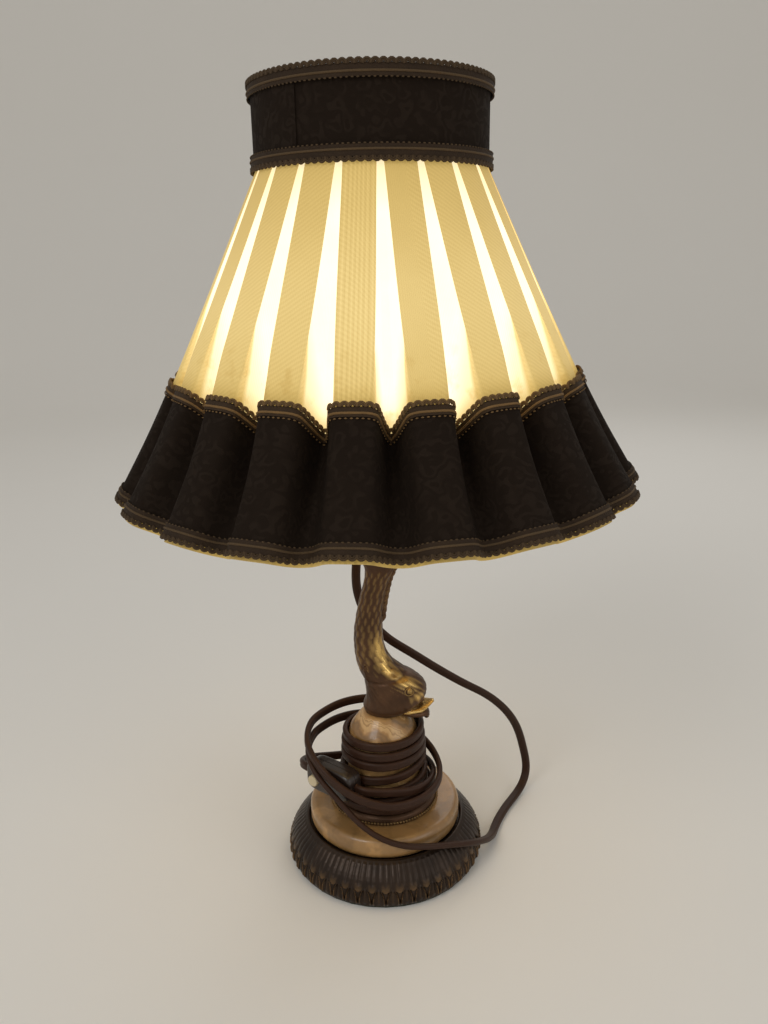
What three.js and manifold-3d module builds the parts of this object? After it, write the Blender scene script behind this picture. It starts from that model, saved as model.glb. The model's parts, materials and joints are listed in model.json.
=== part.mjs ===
// A table lamp: a cast bronze ring holding an onyx disc and column, a dolphin stem of
// gilt brass, a lampholder with its bulb, and a pleated cloth shade with a dark border.
// Millimetres, +Z up. The origin is the middle of the felt face that the lamp rests on.
// The shade, the ring nut, the bulb and the button of the cord switch are the moving pieces.

import * as THREE from 'three';
import { mergeVertices } from 'three/addons/utils/BufferGeometryUtils.js';
import Module from 'manifold-3d';

const wasm = await Module();
wasm.setup();

// Fits
const runningGap = 0.3;
const boreGap = 0.3;
const endGap = 0.3;

// Base: felt, bronze ring, steel plate, onyx disc and beaded ring
const feltThickness = 1.5;
const feltWidth = 8;
const feltSetback = 2;
const ringRadius = 64;
const ringFootSetback = 1.6;
const ringWall = 2.4;
const leafCount = 46;
const leafRelief = 0.9;
const lipHeight = 25.7;
const ledgeHeight = 22.5;
const ledgeWidth = 5;
const plateThickness = 1.5;
const plateHeight = 5.2;
const discRadius = 49.5;
const discThickness = 14;
const discRounding = 5;
const beadRingRadius = 35.5;
const beadRingHeight = 6;
const beadCount = 28;
const beadRelief = 0.5;

// Onyx column
const columnHeight = 58;
const columnFootRadius = 24.5;
const columnTopRadius = 22;
const columnNeckRadius = 12.5;
const columnShoulder = 12;

// Threaded rod that ties the base together, and the nipple that carries the lampholder
const rodRadius = 5;
const rodBelowPlate = 4;
const rodIntoStem = 18;
const nutAcross = 14;
const nutThickness = 3;
const washerRadius = 9;
const washerThickness = 0.6;
const nippleIntoStem = 12;
const nippleAboveCup = 6;

// Dolphin stem
const stemHeight = 128;
const crestSpines = 8;
const crestHeight = 3.4;
const crestThickness = 2.4;
const crestRoot = 3;
const crestStart = 0.28;
const crestEnd = 0.86;
const cupHeight = 8;
const cupRadius = 16;

// Lampholder
const holderRadius = 19.6;
const holderWall = 2.4;
const holderCapHeight = 22;
const holderShellHeight = 29;
const shoulderRadius = 23;
const shoulderThickness = 3;
const threadAboveShoulder = 7;
const coreHeight = 6;
const screwShellRadius = 14.3;
const screwShellWall = 0.7;
const screwShellHeight = 21;
const contactHeight = 2.6;
const glandLength = 20;
const glandHeight = 13;

// Bulb
const bulbCapRadius = 13.2;
const bulbCapHeight = 25.5;
const bulbRadius = 30;
const bulbGlassHeight = 80;
const glassWall = 0.9;

// Ring nut on the lampholder's thread
const ringNutHeight = 5;
const ringNutRadius = 24;

// Shade: heights are measured from the underside of its fitting ring
const fittingThickness = 1.6;
const fittingWidth = 7;
const armCount = 3;
const firstArmAngle = 30;
const armLevelLength = 14;
const strutCount = 6;
const armWire = 1.5;
const ringWire = 1.5;
const strutWire = 1.25;
const collarRadius = 62.3;
const collarWall = 1;
const collarOverlap = 0.8;
const collarBottom = 144.3;
const collarHeight = 40.6;
const collarSeamAngle = 236;
const lowerRingRadius = 90.3;
const lowerRingHeight = 30;
const pleatCount = 20;
const firstPleatAngle = 265;
const clothThickness = 0.9;
const braidWidth = 8.6;
const braidThickness = 1.2;
const braidEdge = 0.8;
const borderStart = 0.495;
const layerGap = 0.3;
const borderRidge = { radius: 114.3, height: 36 };
const borderValley = { radius: 96, height: 20 };
const hemRidge = { radius: 149.3, height: -24 };
const hemValley = { radius: 134, height: -31 };
const valleyInset = 1.6;

// Mains lead: a flat twin flex, its switch and its plug
const flexWidth = 6;
const flexThickness = 3.6;
const windingStartAngle = 156;
const stepsPerTurn = 18;
const switchLength = 36;
const switchWidth = 20;
const switchThickness = 13;
const seamGap = 0.3;
const buttonRadius = 3.75;
const buttonTravel = 1.5;
const buttonStandOff = 0.6;
const buttonPlace = -11;
const buttonDrop = -2;
const wellFloor = 1.6;
const plugWidth = 35.3;
const plugThickness = 13.7;
const plugLength = 44;
const pinRadius = 2;
const pinLength = 19;
const pinSpacing = 18.6;

const bronze = { color: 0x3c2f22, roughness: 0.55, metalness: 0.85 };
const gilt = { color: 0x9a7434, roughness: 0.4, metalness: 0.95 };
const onyx = { color: 0xc79a5b, roughness: 0.25, metalness: 0 };
const bandedOnyx = { color: 0xb08552, roughness: 0.25, metalness: 0 };
const steel = { color: 0x9a9a98, roughness: 0.4, metalness: 1 };
const brass = { color: 0xb08d48, roughness: 0.35, metalness: 1 };
const bakelite = { color: 0x2a1a12, roughness: 0.4, metalness: 0 };
const porcelain = { color: 0xe6e2d6, roughness: 0.3, metalness: 0 };
const felt = { color: 0x33402c, roughness: 1, metalness: 0 };
const ivoryCloth = { color: 0xeadfbd, roughness: 0.9, metalness: 0 };
const darkCloth = { color: 0x2b2018, roughness: 0.9, metalness: 0 };
const goldBraid = { color: 0x8d7042, roughness: 0.8, metalness: 0.1 };
const opal = { color: 0xfff3d8, roughness: 0.2, metalness: 0 };
const flexBrown = { color: 0x4a2f1f, roughness: 0.5, metalness: 0 };
const cream = { color: 0xe9dfc4, roughness: 0.4, metalness: 0 };
const nickel = { color: 0xc9c7c0, roughness: 0.3, metalness: 1 };

const radians = THREE.MathUtils.degToRad;

function signedVolume(geometry) {
  const place = geometry.getAttribute('position');
  const [a, b, c] = [new THREE.Vector3(), new THREE.Vector3(), new THREE.Vector3()];
  let volume = 0;
  for (let i = 0; i < geometry.index.count; i += 3) {
    a.fromBufferAttribute(place, geometry.index.getX(i));
    b.fromBufferAttribute(place, geometry.index.getX(i + 1));
    c.fromBufferAttribute(place, geometry.index.getX(i + 2));
    volume += a.dot(b.cross(c)) / 6;
  }
  return volume;
}

// A surface of rings of points: closed round each ring, and capped or closed from end to end.
// Each four-sided patch is split along its shorter diagonal.
function skin(rings, joined) {
  const around = rings[0].length;
  const points = rings.flat();
  const faces = [];
  const lengthwise = joined ? rings.length : rings.length - 1;
  for (let i = 0; i < lengthwise; i += 1) {
    const here = i * around;
    const next = ((i + 1) % rings.length) * around;
    for (let j = 0; j < around; j += 1) {
      const k = (j + 1) % around;
      const rising = points[next + j].distanceTo(points[here + k]);
      const falling = points[here + j].distanceTo(points[next + k]);
      if (rising <= falling) faces.push(here + j, next + j, here + k, here + k, next + j, next + k);
      else faces.push(here + j, next + j, next + k, here + j, next + k, here + k);
    }
  }
  if (!joined) {
    const middle = (ring) => ring.reduce((sum, p) => sum.add(p), new THREE.Vector3())
      .divideScalar(around);
    const last = (rings.length - 1) * around;
    const start = points.push(middle(rings[0])) - 1;
    const finish = points.push(middle(rings[rings.length - 1])) - 1;
    for (let j = 0; j < around; j += 1) {
      const k = (j + 1) % around;
      faces.push(start, j, k, finish, last + k, last + j);
    }
  }
  const geometry = new THREE.BufferGeometry().setFromPoints(points);
  geometry.setIndex(faces);
  if (signedVolume(geometry) < 0) geometry.setIndex(faces.reverse());
  return geometry;
}

// A turned piece from [radius, height] points that run up the outside and down the inside
function turned(profile, segments) {
  const points = profile.map(([r, z]) => new THREE.Vector2(r, z));
  const touchesAxis = profile[0][0] === 0;
  if (!touchesAxis) points.push(points[0].clone());
  return new THREE.LatheGeometry(points, segments).rotateX(Math.PI / 2);
}

function cylinder(radius, bottom, top, segments) {
  return turned([[0, bottom], [radius, bottom], [radius, top], [0, top]], segments);
}

function ringOfWire(radius, height, wire) {
  const sides = 5;
  const profile = [];
  for (let i = 0; i < sides; i += 1) {
    const angle = (2 * Math.PI * i) / sides;
    profile.push([radius + wire * Math.cos(angle), height + wire * Math.sin(angle)]);
  }
  return turned(profile, 28);
}

// A bent wire whose corners are mitred, in the upright plane through the axis
function wireAlong(points, radius) {
  const sideways = new THREE.Vector3(-points[0].y, points[0].x, 0).normalize();
  return loft(points.map((centre, i) => {
    const before = points[Math.max(i - 1, 0)];
    const after = points[Math.min(i + 1, points.length - 1)];
    const heading = after.clone().sub(before).normalize();
    return {
      centre,
      u: new THREE.Vector3().crossVectors(sideways, heading).multiplyScalar(radius),
      v: sideways.clone().multiplyScalar(radius),
    };
  }), 6);
}

// A tapering body on elliptical sections: each has a centre and two half-axis vectors
function loft(sections, sides) {
  const rings = sections.map(({ centre, u, v }) => {
    const ring = [];
    for (let j = 0; j < sides; j += 1) {
      const angle = (2 * Math.PI * j) / sides;
      ring.push(centre.clone().addScaledVector(u, Math.cos(angle))
        .addScaledVector(v, Math.sin(angle)));
    }
    return ring;
  });
  return skin(rings, false);
}

function toSolid(geometry) {
  const bare = geometry.clone();
  bare.deleteAttribute('normal');
  bare.deleteAttribute('uv');
  const merged = mergeVertices(bare, 1e-4);
  return new wasm.Manifold(new wasm.Mesh({
    numProp: 3,
    vertProperties: new Float32Array(merged.getAttribute('position').array),
    triVerts: new Uint32Array(merged.index.array),
  }));
}

function toGeometry(solid) {
  const mesh = solid.getMesh();
  const geometry = new THREE.BufferGeometry();
  geometry.setAttribute('position', new THREE.BufferAttribute(mesh.vertProperties, mesh.numProp));
  geometry.setIndex(new THREE.BufferAttribute(mesh.triVerts, 1));
  return geometry;
}

function cut(geometry, ...tools) {
  return toGeometry(tools.reduce((solid, tool) => solid.subtract(toSolid(tool)), toSolid(geometry)));
}

function join(geometry, ...others) {
  return toGeometry(others.reduce((solid, other) => solid.add(toSolid(other)), toSolid(geometry)));
}

function piece(parent, name, geometry, finish) {
  const mesh = new THREE.Mesh(geometry, new THREE.MeshStandardMaterial(finish));
  mesh.name = name;
  parent.add(mesh);
}

const lamp = new THREE.Group();

// Heights of the stack, each from the piece below it
const ringFoot = feltThickness;
const discFoot = ringFoot + ledgeHeight;
const beadFoot = discFoot + discThickness;
const columnFoot = beadFoot + beadRingHeight;
const stemFoot = columnFoot + columnHeight;
const cupFoot = stemFoot + stemHeight;
const holderFoot = cupFoot + cupHeight;
const shellFoot = holderFoot + holderCapHeight;
const shoulderTop = shellFoot + holderShellHeight - threadAboveShoulder;
const coreTop = shellFoot + coreHeight;
const bulbTip = coreTop + contactHeight + runningGap;
const plateTop = ringFoot + plateHeight + plateThickness;

// Cast bronze ring with two rows of upright leaves, each row set half a leaf from the other.
// Each point of its section is [radius, height above the foot, how far a leaf stands out].
const ringFootInner = ringRadius - ringFootSetback - ringWall;
function leafRing() {
  const recess = discRadius + runningGap;
  const rimFall = ringRadius - discRadius;
  const outside = [
    [ringRadius - 0.4, 0, 0],
    [ringRadius - ringFootSetback, 4.4, 0],
    [ringRadius, 8, leafRelief],
    [ringRadius - 0.12 * rimFall, 13, 0.3 * leafRelief],
    [ringRadius - 0.32 * rimFall, 17, -leafRelief],
    [ringRadius - 0.55 * rimFall, 21.2, -0.5 * leafRelief],
    [ringRadius - 0.72 * rimFall, lipHeight - 0.7, 0],
    [ringRadius - 0.84 * rimFall, lipHeight, 0],
    [recess, lipHeight - 0.8, 0],
  ];
  const inside = [
    [recess, ledgeHeight, 0],
    [discRadius - ledgeWidth, ledgeHeight, 0],
    [discRadius - ledgeWidth, ledgeHeight - 3, 0],
    [ringRadius - 0.55 * rimFall, 12, 0],
    [ringFootInner, plateHeight + plateThickness, 0],
    [ringFootInner, 0, 0],
  ];
  const rings = [];
  for (let i = 0; i < 2 * leafCount; i += 1) {
    const angle = (Math.PI * i) / leafCount;
    const side = i % 2 === 0 ? 1 : -1;
    rings.push([...outside, ...inside].map(([r, z, relief]) => {
      const radius = r + relief * side;
      return new THREE.Vector3(radius * Math.cos(angle), radius * Math.sin(angle), ringFoot + z);
    }));
  }
  return skin(rings, true);
}

function beadedRing() {
  const bore = rodRadius + boreGap;
  const profile = [
    [bore, 0, 0],
    [beadRingRadius - 1.5, 0, 0],
    [beadRingRadius, 1.4, beadRelief],
    [beadRingRadius - 0.3, 3.6, beadRelief],
    [beadRingRadius - 3.4, beadRingHeight, 0],
    [bore, beadRingHeight, 0],
  ];
  const rings = [];
  for (let i = 0; i < 2 * beadCount; i += 1) {
    const angle = (Math.PI * i) / beadCount;
    const side = i % 2 === 0 ? 1 : -1;
    rings.push(profile.map(([r, z, relief]) => {
      const radius = r + relief * side;
      return new THREE.Vector3(radius * Math.cos(angle), radius * Math.sin(angle), beadFoot + z);
    }));
  }
  return skin(rings, true);
}

function onyxDisc() {
  const bore = rodRadius + boreGap;
  const profile = [[bore, discFoot], [discRadius, discFoot]];
  for (let i = 0; i <= 3; i += 1) {
    const angle = radians(30 * i);
    profile.push([
      discRadius - discRounding * (1 - Math.cos(angle)),
      beadFoot - discRounding * (1 - Math.sin(angle)),
    ]);
  }
  profile.push([bore, beadFoot]);
  return turned(profile, 40);
}

function onyxColumn() {
  const bore = rodRadius + boreGap;
  const shoulder = stemFoot - columnShoulder;
  return turned([
    [bore, columnFoot],
    [columnFootRadius + 0.8, columnFoot],
    [columnFootRadius + 1.2, columnFoot + 2],
    [columnFootRadius, columnFoot + 5],
    [(columnFootRadius + columnTopRadius) / 2 + 0.4, (columnFoot + shoulder) / 2],
    [columnTopRadius, shoulder - 1],
    [columnTopRadius - 1, shoulder + 0.8],
    [columnNeckRadius + 3, stemFoot - 3.5],
    [columnNeckRadius, stemFoot],
    [bore, stemFoot],
  ], 28);
}

// Body of the dolphin: the head rests on the column, the tail carries the lampholder.
// Each section is [height above the column, centre x, half-width, half-thickness].
const dolphinSections = [
  [0, 2.5, 14, 12],
  [4, 5, 17.5, 15],
  [10, 8.5, 19, 16],
  [18, 8.5, 19.3, 15.5],
  [24, 5, 17.2, 14],
  [30, -1, 13.4, 11.5],
  [36, -5, 10.8, 9.8],
  [46, -7.8, 9, 8.8],
  [58, -8, 8.4, 8.2],
  [74, -6, 7.4, 7.4],
  [88, -2.6, 7.2, 7],
  [96, -0.4, 8.6, 6.4],
  [104, 0, 12.5, 6.6],
  [112, 0, 14.5, 7.6],
  [119, 0, 10.4, 8.8],
  [stemHeight, 0, 11.5, 11.5],
];

function along(points, widths, depths, sides) {
  const curve = new THREE.CatmullRomCurve3(points.map((p) => new THREE.Vector3(...p)));
  const across = new THREE.Vector3(0, 1, 0);
  const sections = widths.map((width, i) => {
    const t = i / (widths.length - 1);
    const heading = curve.getTangentAt(t);
    return {
      centre: curve.getPointAt(t),
      u: new THREE.Vector3().crossVectors(across, heading).normalize().multiplyScalar(depths[i]),
      v: across.clone().multiplyScalar(width),
    };
  });
  return loft(sections, sides);
}

// Back fin: a thin plate of short spines along the right side of the tail
function crest() {
  const back = new THREE.SplineCurve(dolphinSections.slice(7, 13)
    .map(([z, x, half]) => new THREE.Vector2(x + half, z)));
  const outline = new THREE.Shape();
  const start = back.getPointAt(crestStart);
  outline.moveTo(start.x - crestRoot, start.y);
  for (let i = 0; i < crestSpines; i += 1) {
    const valley = back.getPointAt(crestStart + (crestEnd - crestStart) * i / crestSpines);
    const tip = back.getPointAt(crestStart + (crestEnd - crestStart) * (i + 1) / crestSpines);
    outline.lineTo(valley.x + 0.5, valley.y);
    outline.lineTo(tip.x + crestHeight, tip.y);
  }
  const end = back.getPointAt(crestEnd);
  outline.lineTo(end.x - crestRoot, end.y);
  const plate = new THREE.ExtrudeGeometry(outline, { depth: crestThickness, bevelEnabled: false });
  return plate.rotateX(Math.PI / 2).translate(0, crestThickness / 2, 0);
}

function dolphin() {
  const bodySections = dolphinSections.map(([z, x, half, depth]) => ({
    centre: new THREE.Vector3(x, 0, z),
    u: new THREE.Vector3(half, 0, 0),
    v: new THREE.Vector3(0, depth, 0),
  }));
  const lowerLip = along(
    [[8, 0, 4], [18, 0, 1.4], [26, 0, 0.6], [33, 0, 3.4]],
    [12, 13, 10, 4],
    [3.4, 2.6, 2.1, 1.4],
    10,
  );
  const upperLip = along(
    [[14, 0, 12], [22, 0, 8.5], [29, 0, 8], [34, 0, 10.4]],
    [13, 12, 8.5, 3],
    [4, 3.4, 2.4, 1.2],
    10,
  );
  const chin = along(
    [[17, 0, 1], [24, 0, -1.6], [28.5, 0, -3.8], [27, 0, -6.2]],
    [8, 7, 5, 2.5],
    [2.6, 2.4, 2, 1.4],
    8,
  );
  const extras = [lowerLip, upperLip, chin, crest()];
  for (const side of [-1, 1]) {
    extras.push(new THREE.SphereGeometry(2.6, 7, 5).translate(17, side * 12.4, 19));
    const fin = along(
      [[0, 0, 22], [-8, 0, 27], [-15, 0, 35]],
      [1.8, 1.6, 0.8],
      [5, 5.5, 1.6],
      6,
    );
    extras.push(fin.rotateZ(radians(side * 42)));
  }
  const head = join(loft(bodySections, 16), ...extras);
  const shoulderRelief = turned([
    [0, -columnShoulder - 8],
    [columnTopRadius + 0.6, -columnShoulder - 8],
    [columnTopRadius + 0.6, -columnShoulder - 0.4],
    [columnTopRadius - 0.4, -columnShoulder + 1.6],
    [columnNeckRadius + 3.6, -3],
    [columnNeckRadius + 1, 0],
    [0, 0],
  ], 36);
  const rodHole = cylinder(rodRadius + boreGap, -1, rodIntoStem, 12);
  const nippleHole = cylinder(rodRadius + boreGap, stemHeight - nippleIntoStem, stemHeight + 1, 12);
  return cut(head, shoulderRelief, rodHole, nippleHole).translate(0, 0, stemFoot);
}

const feltRadius = ringRadius - feltSetback;
piece(lamp, 'base_felt', turned([
  [feltRadius - feltWidth, 0],
  [feltRadius, 0],
  [feltRadius, feltThickness],
  [feltRadius - feltWidth, feltThickness],
], 36), felt);
piece(lamp, 'base_ring', leafRing(), bronze);
const plateRadius = ringFootInner - runningGap;
piece(lamp, 'base_plate', turned([
  [rodRadius + boreGap, ringFoot + plateHeight],
  [plateRadius, ringFoot + plateHeight],
  [plateRadius, plateTop],
  [rodRadius + boreGap, plateTop],
], 30), steel);
piece(lamp, 'onyx_disc', onyxDisc(), onyx);
piece(lamp, 'beaded_ring', beadedRing(), gilt);
piece(lamp, 'onyx_column', onyxColumn(), bandedOnyx);
piece(lamp, 'dolphin', dolphin(), gilt);

// Rod, washer and nut that clamp the plate, the disc, the beaded ring and the column
const washerTop = ringFoot + plateHeight;
const nutTop = washerTop - washerThickness;
piece(lamp, 'tie_rod', cylinder(
  rodRadius,
  washerTop - rodBelowPlate,
  stemFoot + rodIntoStem - 1,
  12,
), steel);
piece(lamp, 'tie_washer', turned([
  [rodRadius + boreGap, nutTop],
  [washerRadius, nutTop],
  [washerRadius, washerTop],
  [rodRadius + boreGap, washerTop],
], 16), steel);
const nutBlank = cylinder(nutAcross / Math.sqrt(3), nutTop - nutThickness, nutTop, 6);
const nutBore = cylinder(rodRadius + boreGap, 0, washerTop, 12);
piece(lamp, 'tie_nut', cut(nutBlank, nutBore), brass);

// Cup on the dolphin's tail, and the lampholder that stands in it
piece(lamp, 'tail_cup', turned([
  [rodRadius + boreGap, cupFoot],
  [9, cupFoot],
  [12, cupFoot + 2],
  [cupRadius, cupFoot + 6],
  [cupRadius, cupFoot + cupHeight + 1],
  [cupRadius - 1.6, cupFoot + cupHeight + 1],
  [cupRadius - 2.4, holderFoot],
  [rodRadius + boreGap, holderFoot],
], 20), gilt);
piece(lamp, 'holder_nipple', cylinder(
  rodRadius,
  cupFoot - nippleIntoStem + 1,
  holderFoot + nippleAboveCup,
  12,
), steel);

const capInner = holderRadius - holderWall;
const glandAxis = holderFoot + glandHeight;
const capBody = turned([
  [rodRadius + boreGap, holderFoot],
  [cupRadius - 4, holderFoot],
  [cupRadius - 3, holderFoot + 3],
  [holderRadius - 0.6, holderFoot + 9],
  [holderRadius - 0.6, shellFoot],
  [capInner - 3, shellFoot],
  [capInner - 1, holderFoot + 10],
  [cupRadius - 6, holderFoot + 3],
  [rodRadius + boreGap, holderFoot + 2],
], 20);
const outlet = new THREE.CylinderGeometry(4.6, 4.6, 20, 12).translate(0, holderRadius, glandAxis);
piece(lamp, 'holder_cap', cut(capBody, outlet), bakelite);
const glandStart = capInner - 1;
piece(lamp, 'cord_gland', new THREE.LatheGeometry([
  new THREE.Vector2(0, glandStart),
  new THREE.Vector2(4.2, glandStart),
  new THREE.Vector2(4.2, holderRadius),
  new THREE.Vector2(5.2, holderRadius + runningGap),
  new THREE.Vector2(3.6, holderRadius + glandLength),
  new THREE.Vector2(0, holderRadius + glandLength),
], 12).translate(0, 0, glandAxis), bakelite);
piece(lamp, 'holder_shell', turned([
  [holderRadius - holderWall, shellFoot],
  [holderRadius, shellFoot],
  [holderRadius, shoulderTop - shoulderThickness],
  [shoulderRadius, shoulderTop - shoulderThickness],
  [shoulderRadius, shoulderTop],
  [holderRadius, shoulderTop],
  [holderRadius, shoulderTop + threadAboveShoulder],
  [holderRadius - holderWall, shoulderTop + threadAboveShoulder],
], 20), bakelite);
const coreRadius = holderRadius - holderWall - runningGap;
piece(lamp, 'holder_core', cylinder(coreRadius, shellFoot, coreTop, 20), porcelain);
piece(lamp, 'screw_shell', turned([
  [screwShellRadius - screwShellWall, coreTop],
  [screwShellRadius, coreTop],
  [screwShellRadius, coreTop + screwShellHeight],
  [screwShellRadius - screwShellWall, coreTop + screwShellHeight],
], 20), brass);
piece(lamp, 'centre_contact', cylinder(4, coreTop, coreTop + contactHeight, 12), brass);

// Bulb: it turns in the screw shell
const capTop = bulbTip + bulbCapHeight;
piece(lamp, 'bulb_cap', turned([
  [0, bulbTip],
  [4.6, bulbTip],
  [5.4, bulbTip + 1.6],
  [9.5, bulbTip + 3],
  [bulbCapRadius, bulbTip + 6],
  [bulbCapRadius, capTop],
  [0, capTop],
], 20), nickel);
const neckRadius = bulbCapRadius - 0.4;
function bulbOutline(inset) {
  const shape = [
    [neckRadius, 0],
    [neckRadius + 1.2, 0.09],
    [0.62 * bulbRadius, 0.21],
    [0.88 * bulbRadius, 0.38],
    [bulbRadius, 0.58],
    [0.94 * bulbRadius, 0.76],
    [0.6 * bulbRadius, 0.93],
    [0, 1],
  ];
  const height = bulbGlassHeight - inset;
  return shape.map(([r, share]) => [Math.max(r - inset, 0), capTop + share * height]);
}
const glassHollow = turned([
  [0, capTop - 1],
  [neckRadius - glassWall, capTop - 1],
  ...bulbOutline(glassWall),
], 20);
const glassBody = turned([[0, capTop], ...bulbOutline(0)], 20);
piece(lamp, 'bulb_glass', cut(glassBody, glassHollow), opal);

// Ring nut: it turns on the thread and holds the shade's fitting ring on the shoulder
const threadBore = holderRadius + boreGap;
const nutFoot = shoulderTop + fittingThickness;
piece(lamp, 'shade_ring_nut', turned([
  [threadBore, nutFoot],
  [ringNutRadius, nutFoot],
  [ringNutRadius, nutFoot + 3.4],
  [ringNutRadius - 1.4, nutFoot + ringNutHeight],
  [threadBore, nutFoot + ringNutHeight],
], 20), bakelite);

// Shade: a wire frame with a fitting ring, a stiff collar and the pleated cloth
const shade = new THREE.Group();
shade.position.z = shoulderTop;
lamp.add(shade);

function polar(radius, degrees, height) {
  const angle = radians(degrees);
  return new THREE.Vector3(radius * Math.cos(angle), radius * Math.sin(angle), height);
}

const collarInner = collarRadius - collarWall;
const upperRingRadius = collarInner - runningGap - ringWire;
const collarTop = collarBottom + collarHeight;
const topRingHeight = collarTop - ringWire - 0.5;
const collarRingHeight = collarBottom + ringWire + 0.2;
piece(shade, 'frame_top_ring', ringOfWire(upperRingRadius, topRingHeight, ringWire), steel);
piece(shade, 'frame_collar_ring', ringOfWire(upperRingRadius, collarRingHeight, ringWire), steel);
piece(shade, 'frame_lower_ring', ringOfWire(lowerRingRadius, lowerRingHeight, ringWire), steel);

const strutOffset = ringWire + strutWire + runningGap;
for (let i = 0; i < strutCount; i += 1) {
  const degrees = (360 * i) / strutCount;
  const upper = upperRingRadius - strutOffset;
  const lower = lowerRingRadius - strutOffset;
  const strut = wireAlong([
    polar(upper, degrees, topRingHeight + ringWire),
    polar(upper, degrees, collarRingHeight - 2 * ringWire),
    polar(lower, degrees, lowerRingHeight),
    polar(lower, degrees, lowerRingHeight - ringWire),
  ], strutWire);
  piece(shade, `frame_strut_${i + 1}`, strut, steel);
}

const armStart = threadBore + fittingWidth - armWire;
const armEnd = lowerRingRadius - ringWire - runningGap - armWire / 4;
const arms = [];
for (let i = 0; i < armCount; i += 1) {
  const degrees = firstArmAngle + (360 * i) / armCount;
  arms.push(wireAlong([
    polar(armStart, degrees, fittingThickness / 2),
    polar(armEnd - armLevelLength, degrees, lowerRingHeight),
    polar(armEnd, degrees, lowerRingHeight),
  ], armWire));
}
const fittingRing = turned([
  [threadBore, 0],
  [threadBore + fittingWidth, 0],
  [threadBore + fittingWidth, fittingThickness],
  [threadBore, fittingThickness],
], 20);
piece(shade, 'shade_spider', join(fittingRing, ...arms), steel);

// Collar band: its end laps over its start, which leaves a step at the seam
function collarBand() {
  const steps = 48;
  const outline = new THREE.Shape();
  for (let i = 0; i <= steps; i += 1) {
    const share = i / steps;
    const angle = radians(collarSeamAngle) + 2 * Math.PI * share;
    const radius = collarRadius + collarOverlap * Math.max(0, (share - 0.8) / 0.2);
    const corner = [radius * Math.cos(angle), radius * Math.sin(angle)];
    if (i === 0) outline.moveTo(...corner);
    else outline.lineTo(...corner);
  }
  const hole = new THREE.Path();
  for (let i = 0; i < steps; i += 1) {
    const angle = radians(collarSeamAngle) - (2 * Math.PI * i) / steps;
    const corner = [collarInner * Math.cos(angle), collarInner * Math.sin(angle)];
    if (i === 0) hole.moveTo(...corner);
    else hole.lineTo(...corner);
  }
  outline.holes.push(hole);
  const band = new THREE.ExtrudeGeometry(outline, { depth: collarHeight, bevelEnabled: false });
  return band.translate(0, 0, collarBottom);
}
piece(shade, 'collar_band', collarBand(), darkCloth);

function collarBraid(bottom) {
  const inner = collarRadius + collarOverlap + boreGap;
  return turned([
    [inner, bottom],
    [inner + braidThickness, bottom + braidEdge],
    [inner + braidThickness, bottom + braidWidth - braidEdge],
    [inner, bottom + braidWidth],
  ], 36);
}
piece(shade, 'collar_braid_top', collarBraid(collarTop - braidWidth + braidEdge), goldBraid);
piece(shade, 'collar_braid_bottom', collarBraid(collarBottom - braidEdge), goldBraid);

// Pleated cloth. Along a pleat, 0 is the collar, 0.5 the top of the border and 1 the hem.
const clothTop = collarBottom - runningGap;
const ridgeLine = new THREE.SplineCurve([
  new THREE.Vector2(collarRadius - clothThickness / 2, clothTop),
  new THREE.Vector2(borderRidge.radius, borderRidge.height),
  new THREE.Vector2(hemRidge.radius, hemRidge.height),
]);
const valleyLine = new THREE.SplineCurve([
  new THREE.Vector2(collarRadius - valleyInset, clothTop),
  new THREE.Vector2(borderValley.radius, borderValley.height),
  new THREE.Vector2(hemValley.radius, hemValley.height),
]);
const drapeRows = [0, 0.25, 0.5, 0.75, 1];
const pitch = 360 / pleatCount;
const bandHalfAngles = [0.405 * pitch, 0.245 * pitch, 0.22 * pitch];
const valleyHalfAngles = [0.04 * pitch, 0.11 * pitch, 0.13 * pitch];
const edgeDrops = [0, 1, 2.5];

function between(values, t) {
  const half = t < 0.5 ? 0 : 1;
  return THREE.MathUtils.lerp(values[half], values[half + 1], 2 * t - half);
}

function drapeStation(pleat, station, t) {
  const onRidge = station < 3;
  const line = onRidge ? ridgeLine : valleyLine;
  const place = line.getPoint(t);
  const band = between(bandHalfAngles, t);
  const valley = between(valleyHalfAngles, t);
  const angles = [-band, 0, band, pitch / 2 - valley, pitch / 2 + valley];
  const drop = station === 0 || station === 2 ? between(edgeDrops, t) : 0;
  return polar(place.x - drop, firstPleatAngle + pleat * pitch + angles[station], place.y);
}

// The row of facets that holds t, as its first row and its second
function drapeFacet(t) {
  let row = drapeRows.findIndex((value) => value > t) - 1;
  if (row < 0) row = t < 0 ? 0 : drapeRows.length - 2;
  return [drapeRows[row], drapeRows[row + 1]];
}

// A point of the cloth, on the flat facets between its rows
function drapePoint(index, t) {
  const pleat = Math.floor(index / 5);
  const station = ((index % 5) + 5) % 5;
  const [from, to] = drapeFacet(t);
  const start = drapeStation(pleat, station, from);
  return start.lerp(drapeStation(pleat, station, to), (t - from) / (to - from));
}

function drapeNormal(index, t) {
  const sideways = drapePoint(index + 1, t).sub(drapePoint(index - 1, t));
  const downwards = drapePoint(index, Math.min(t + 0.02, 1)).sub(drapePoint(index, t - 0.02));
  return downwards.cross(sideways).normalize();
}

function layer(innerRows, innerOffset, outerRows, outerOffset) {
  const rings = [];
  for (let index = 0; index < 5 * pleatCount; index += 1) {
    const normals = new Map(drapeRows.map((t) => [t, drapeNormal(index, t)]));
    const at = (t, offset) => {
      const [from, to] = drapeFacet(t);
      const normal = normals.get(from).clone().lerp(normals.get(to), (t - from) / (to - from));
      return drapePoint(index, t).addScaledVector(normal, offset);
    };
    const outside = [...outerRows].reverse().map((t) => at(t, outerOffset));
    const inside = innerRows.map((t) => at(t, innerOffset));
    rings.push([...outside, ...inside]);
  }
  return skin(rings, true);
}

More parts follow.
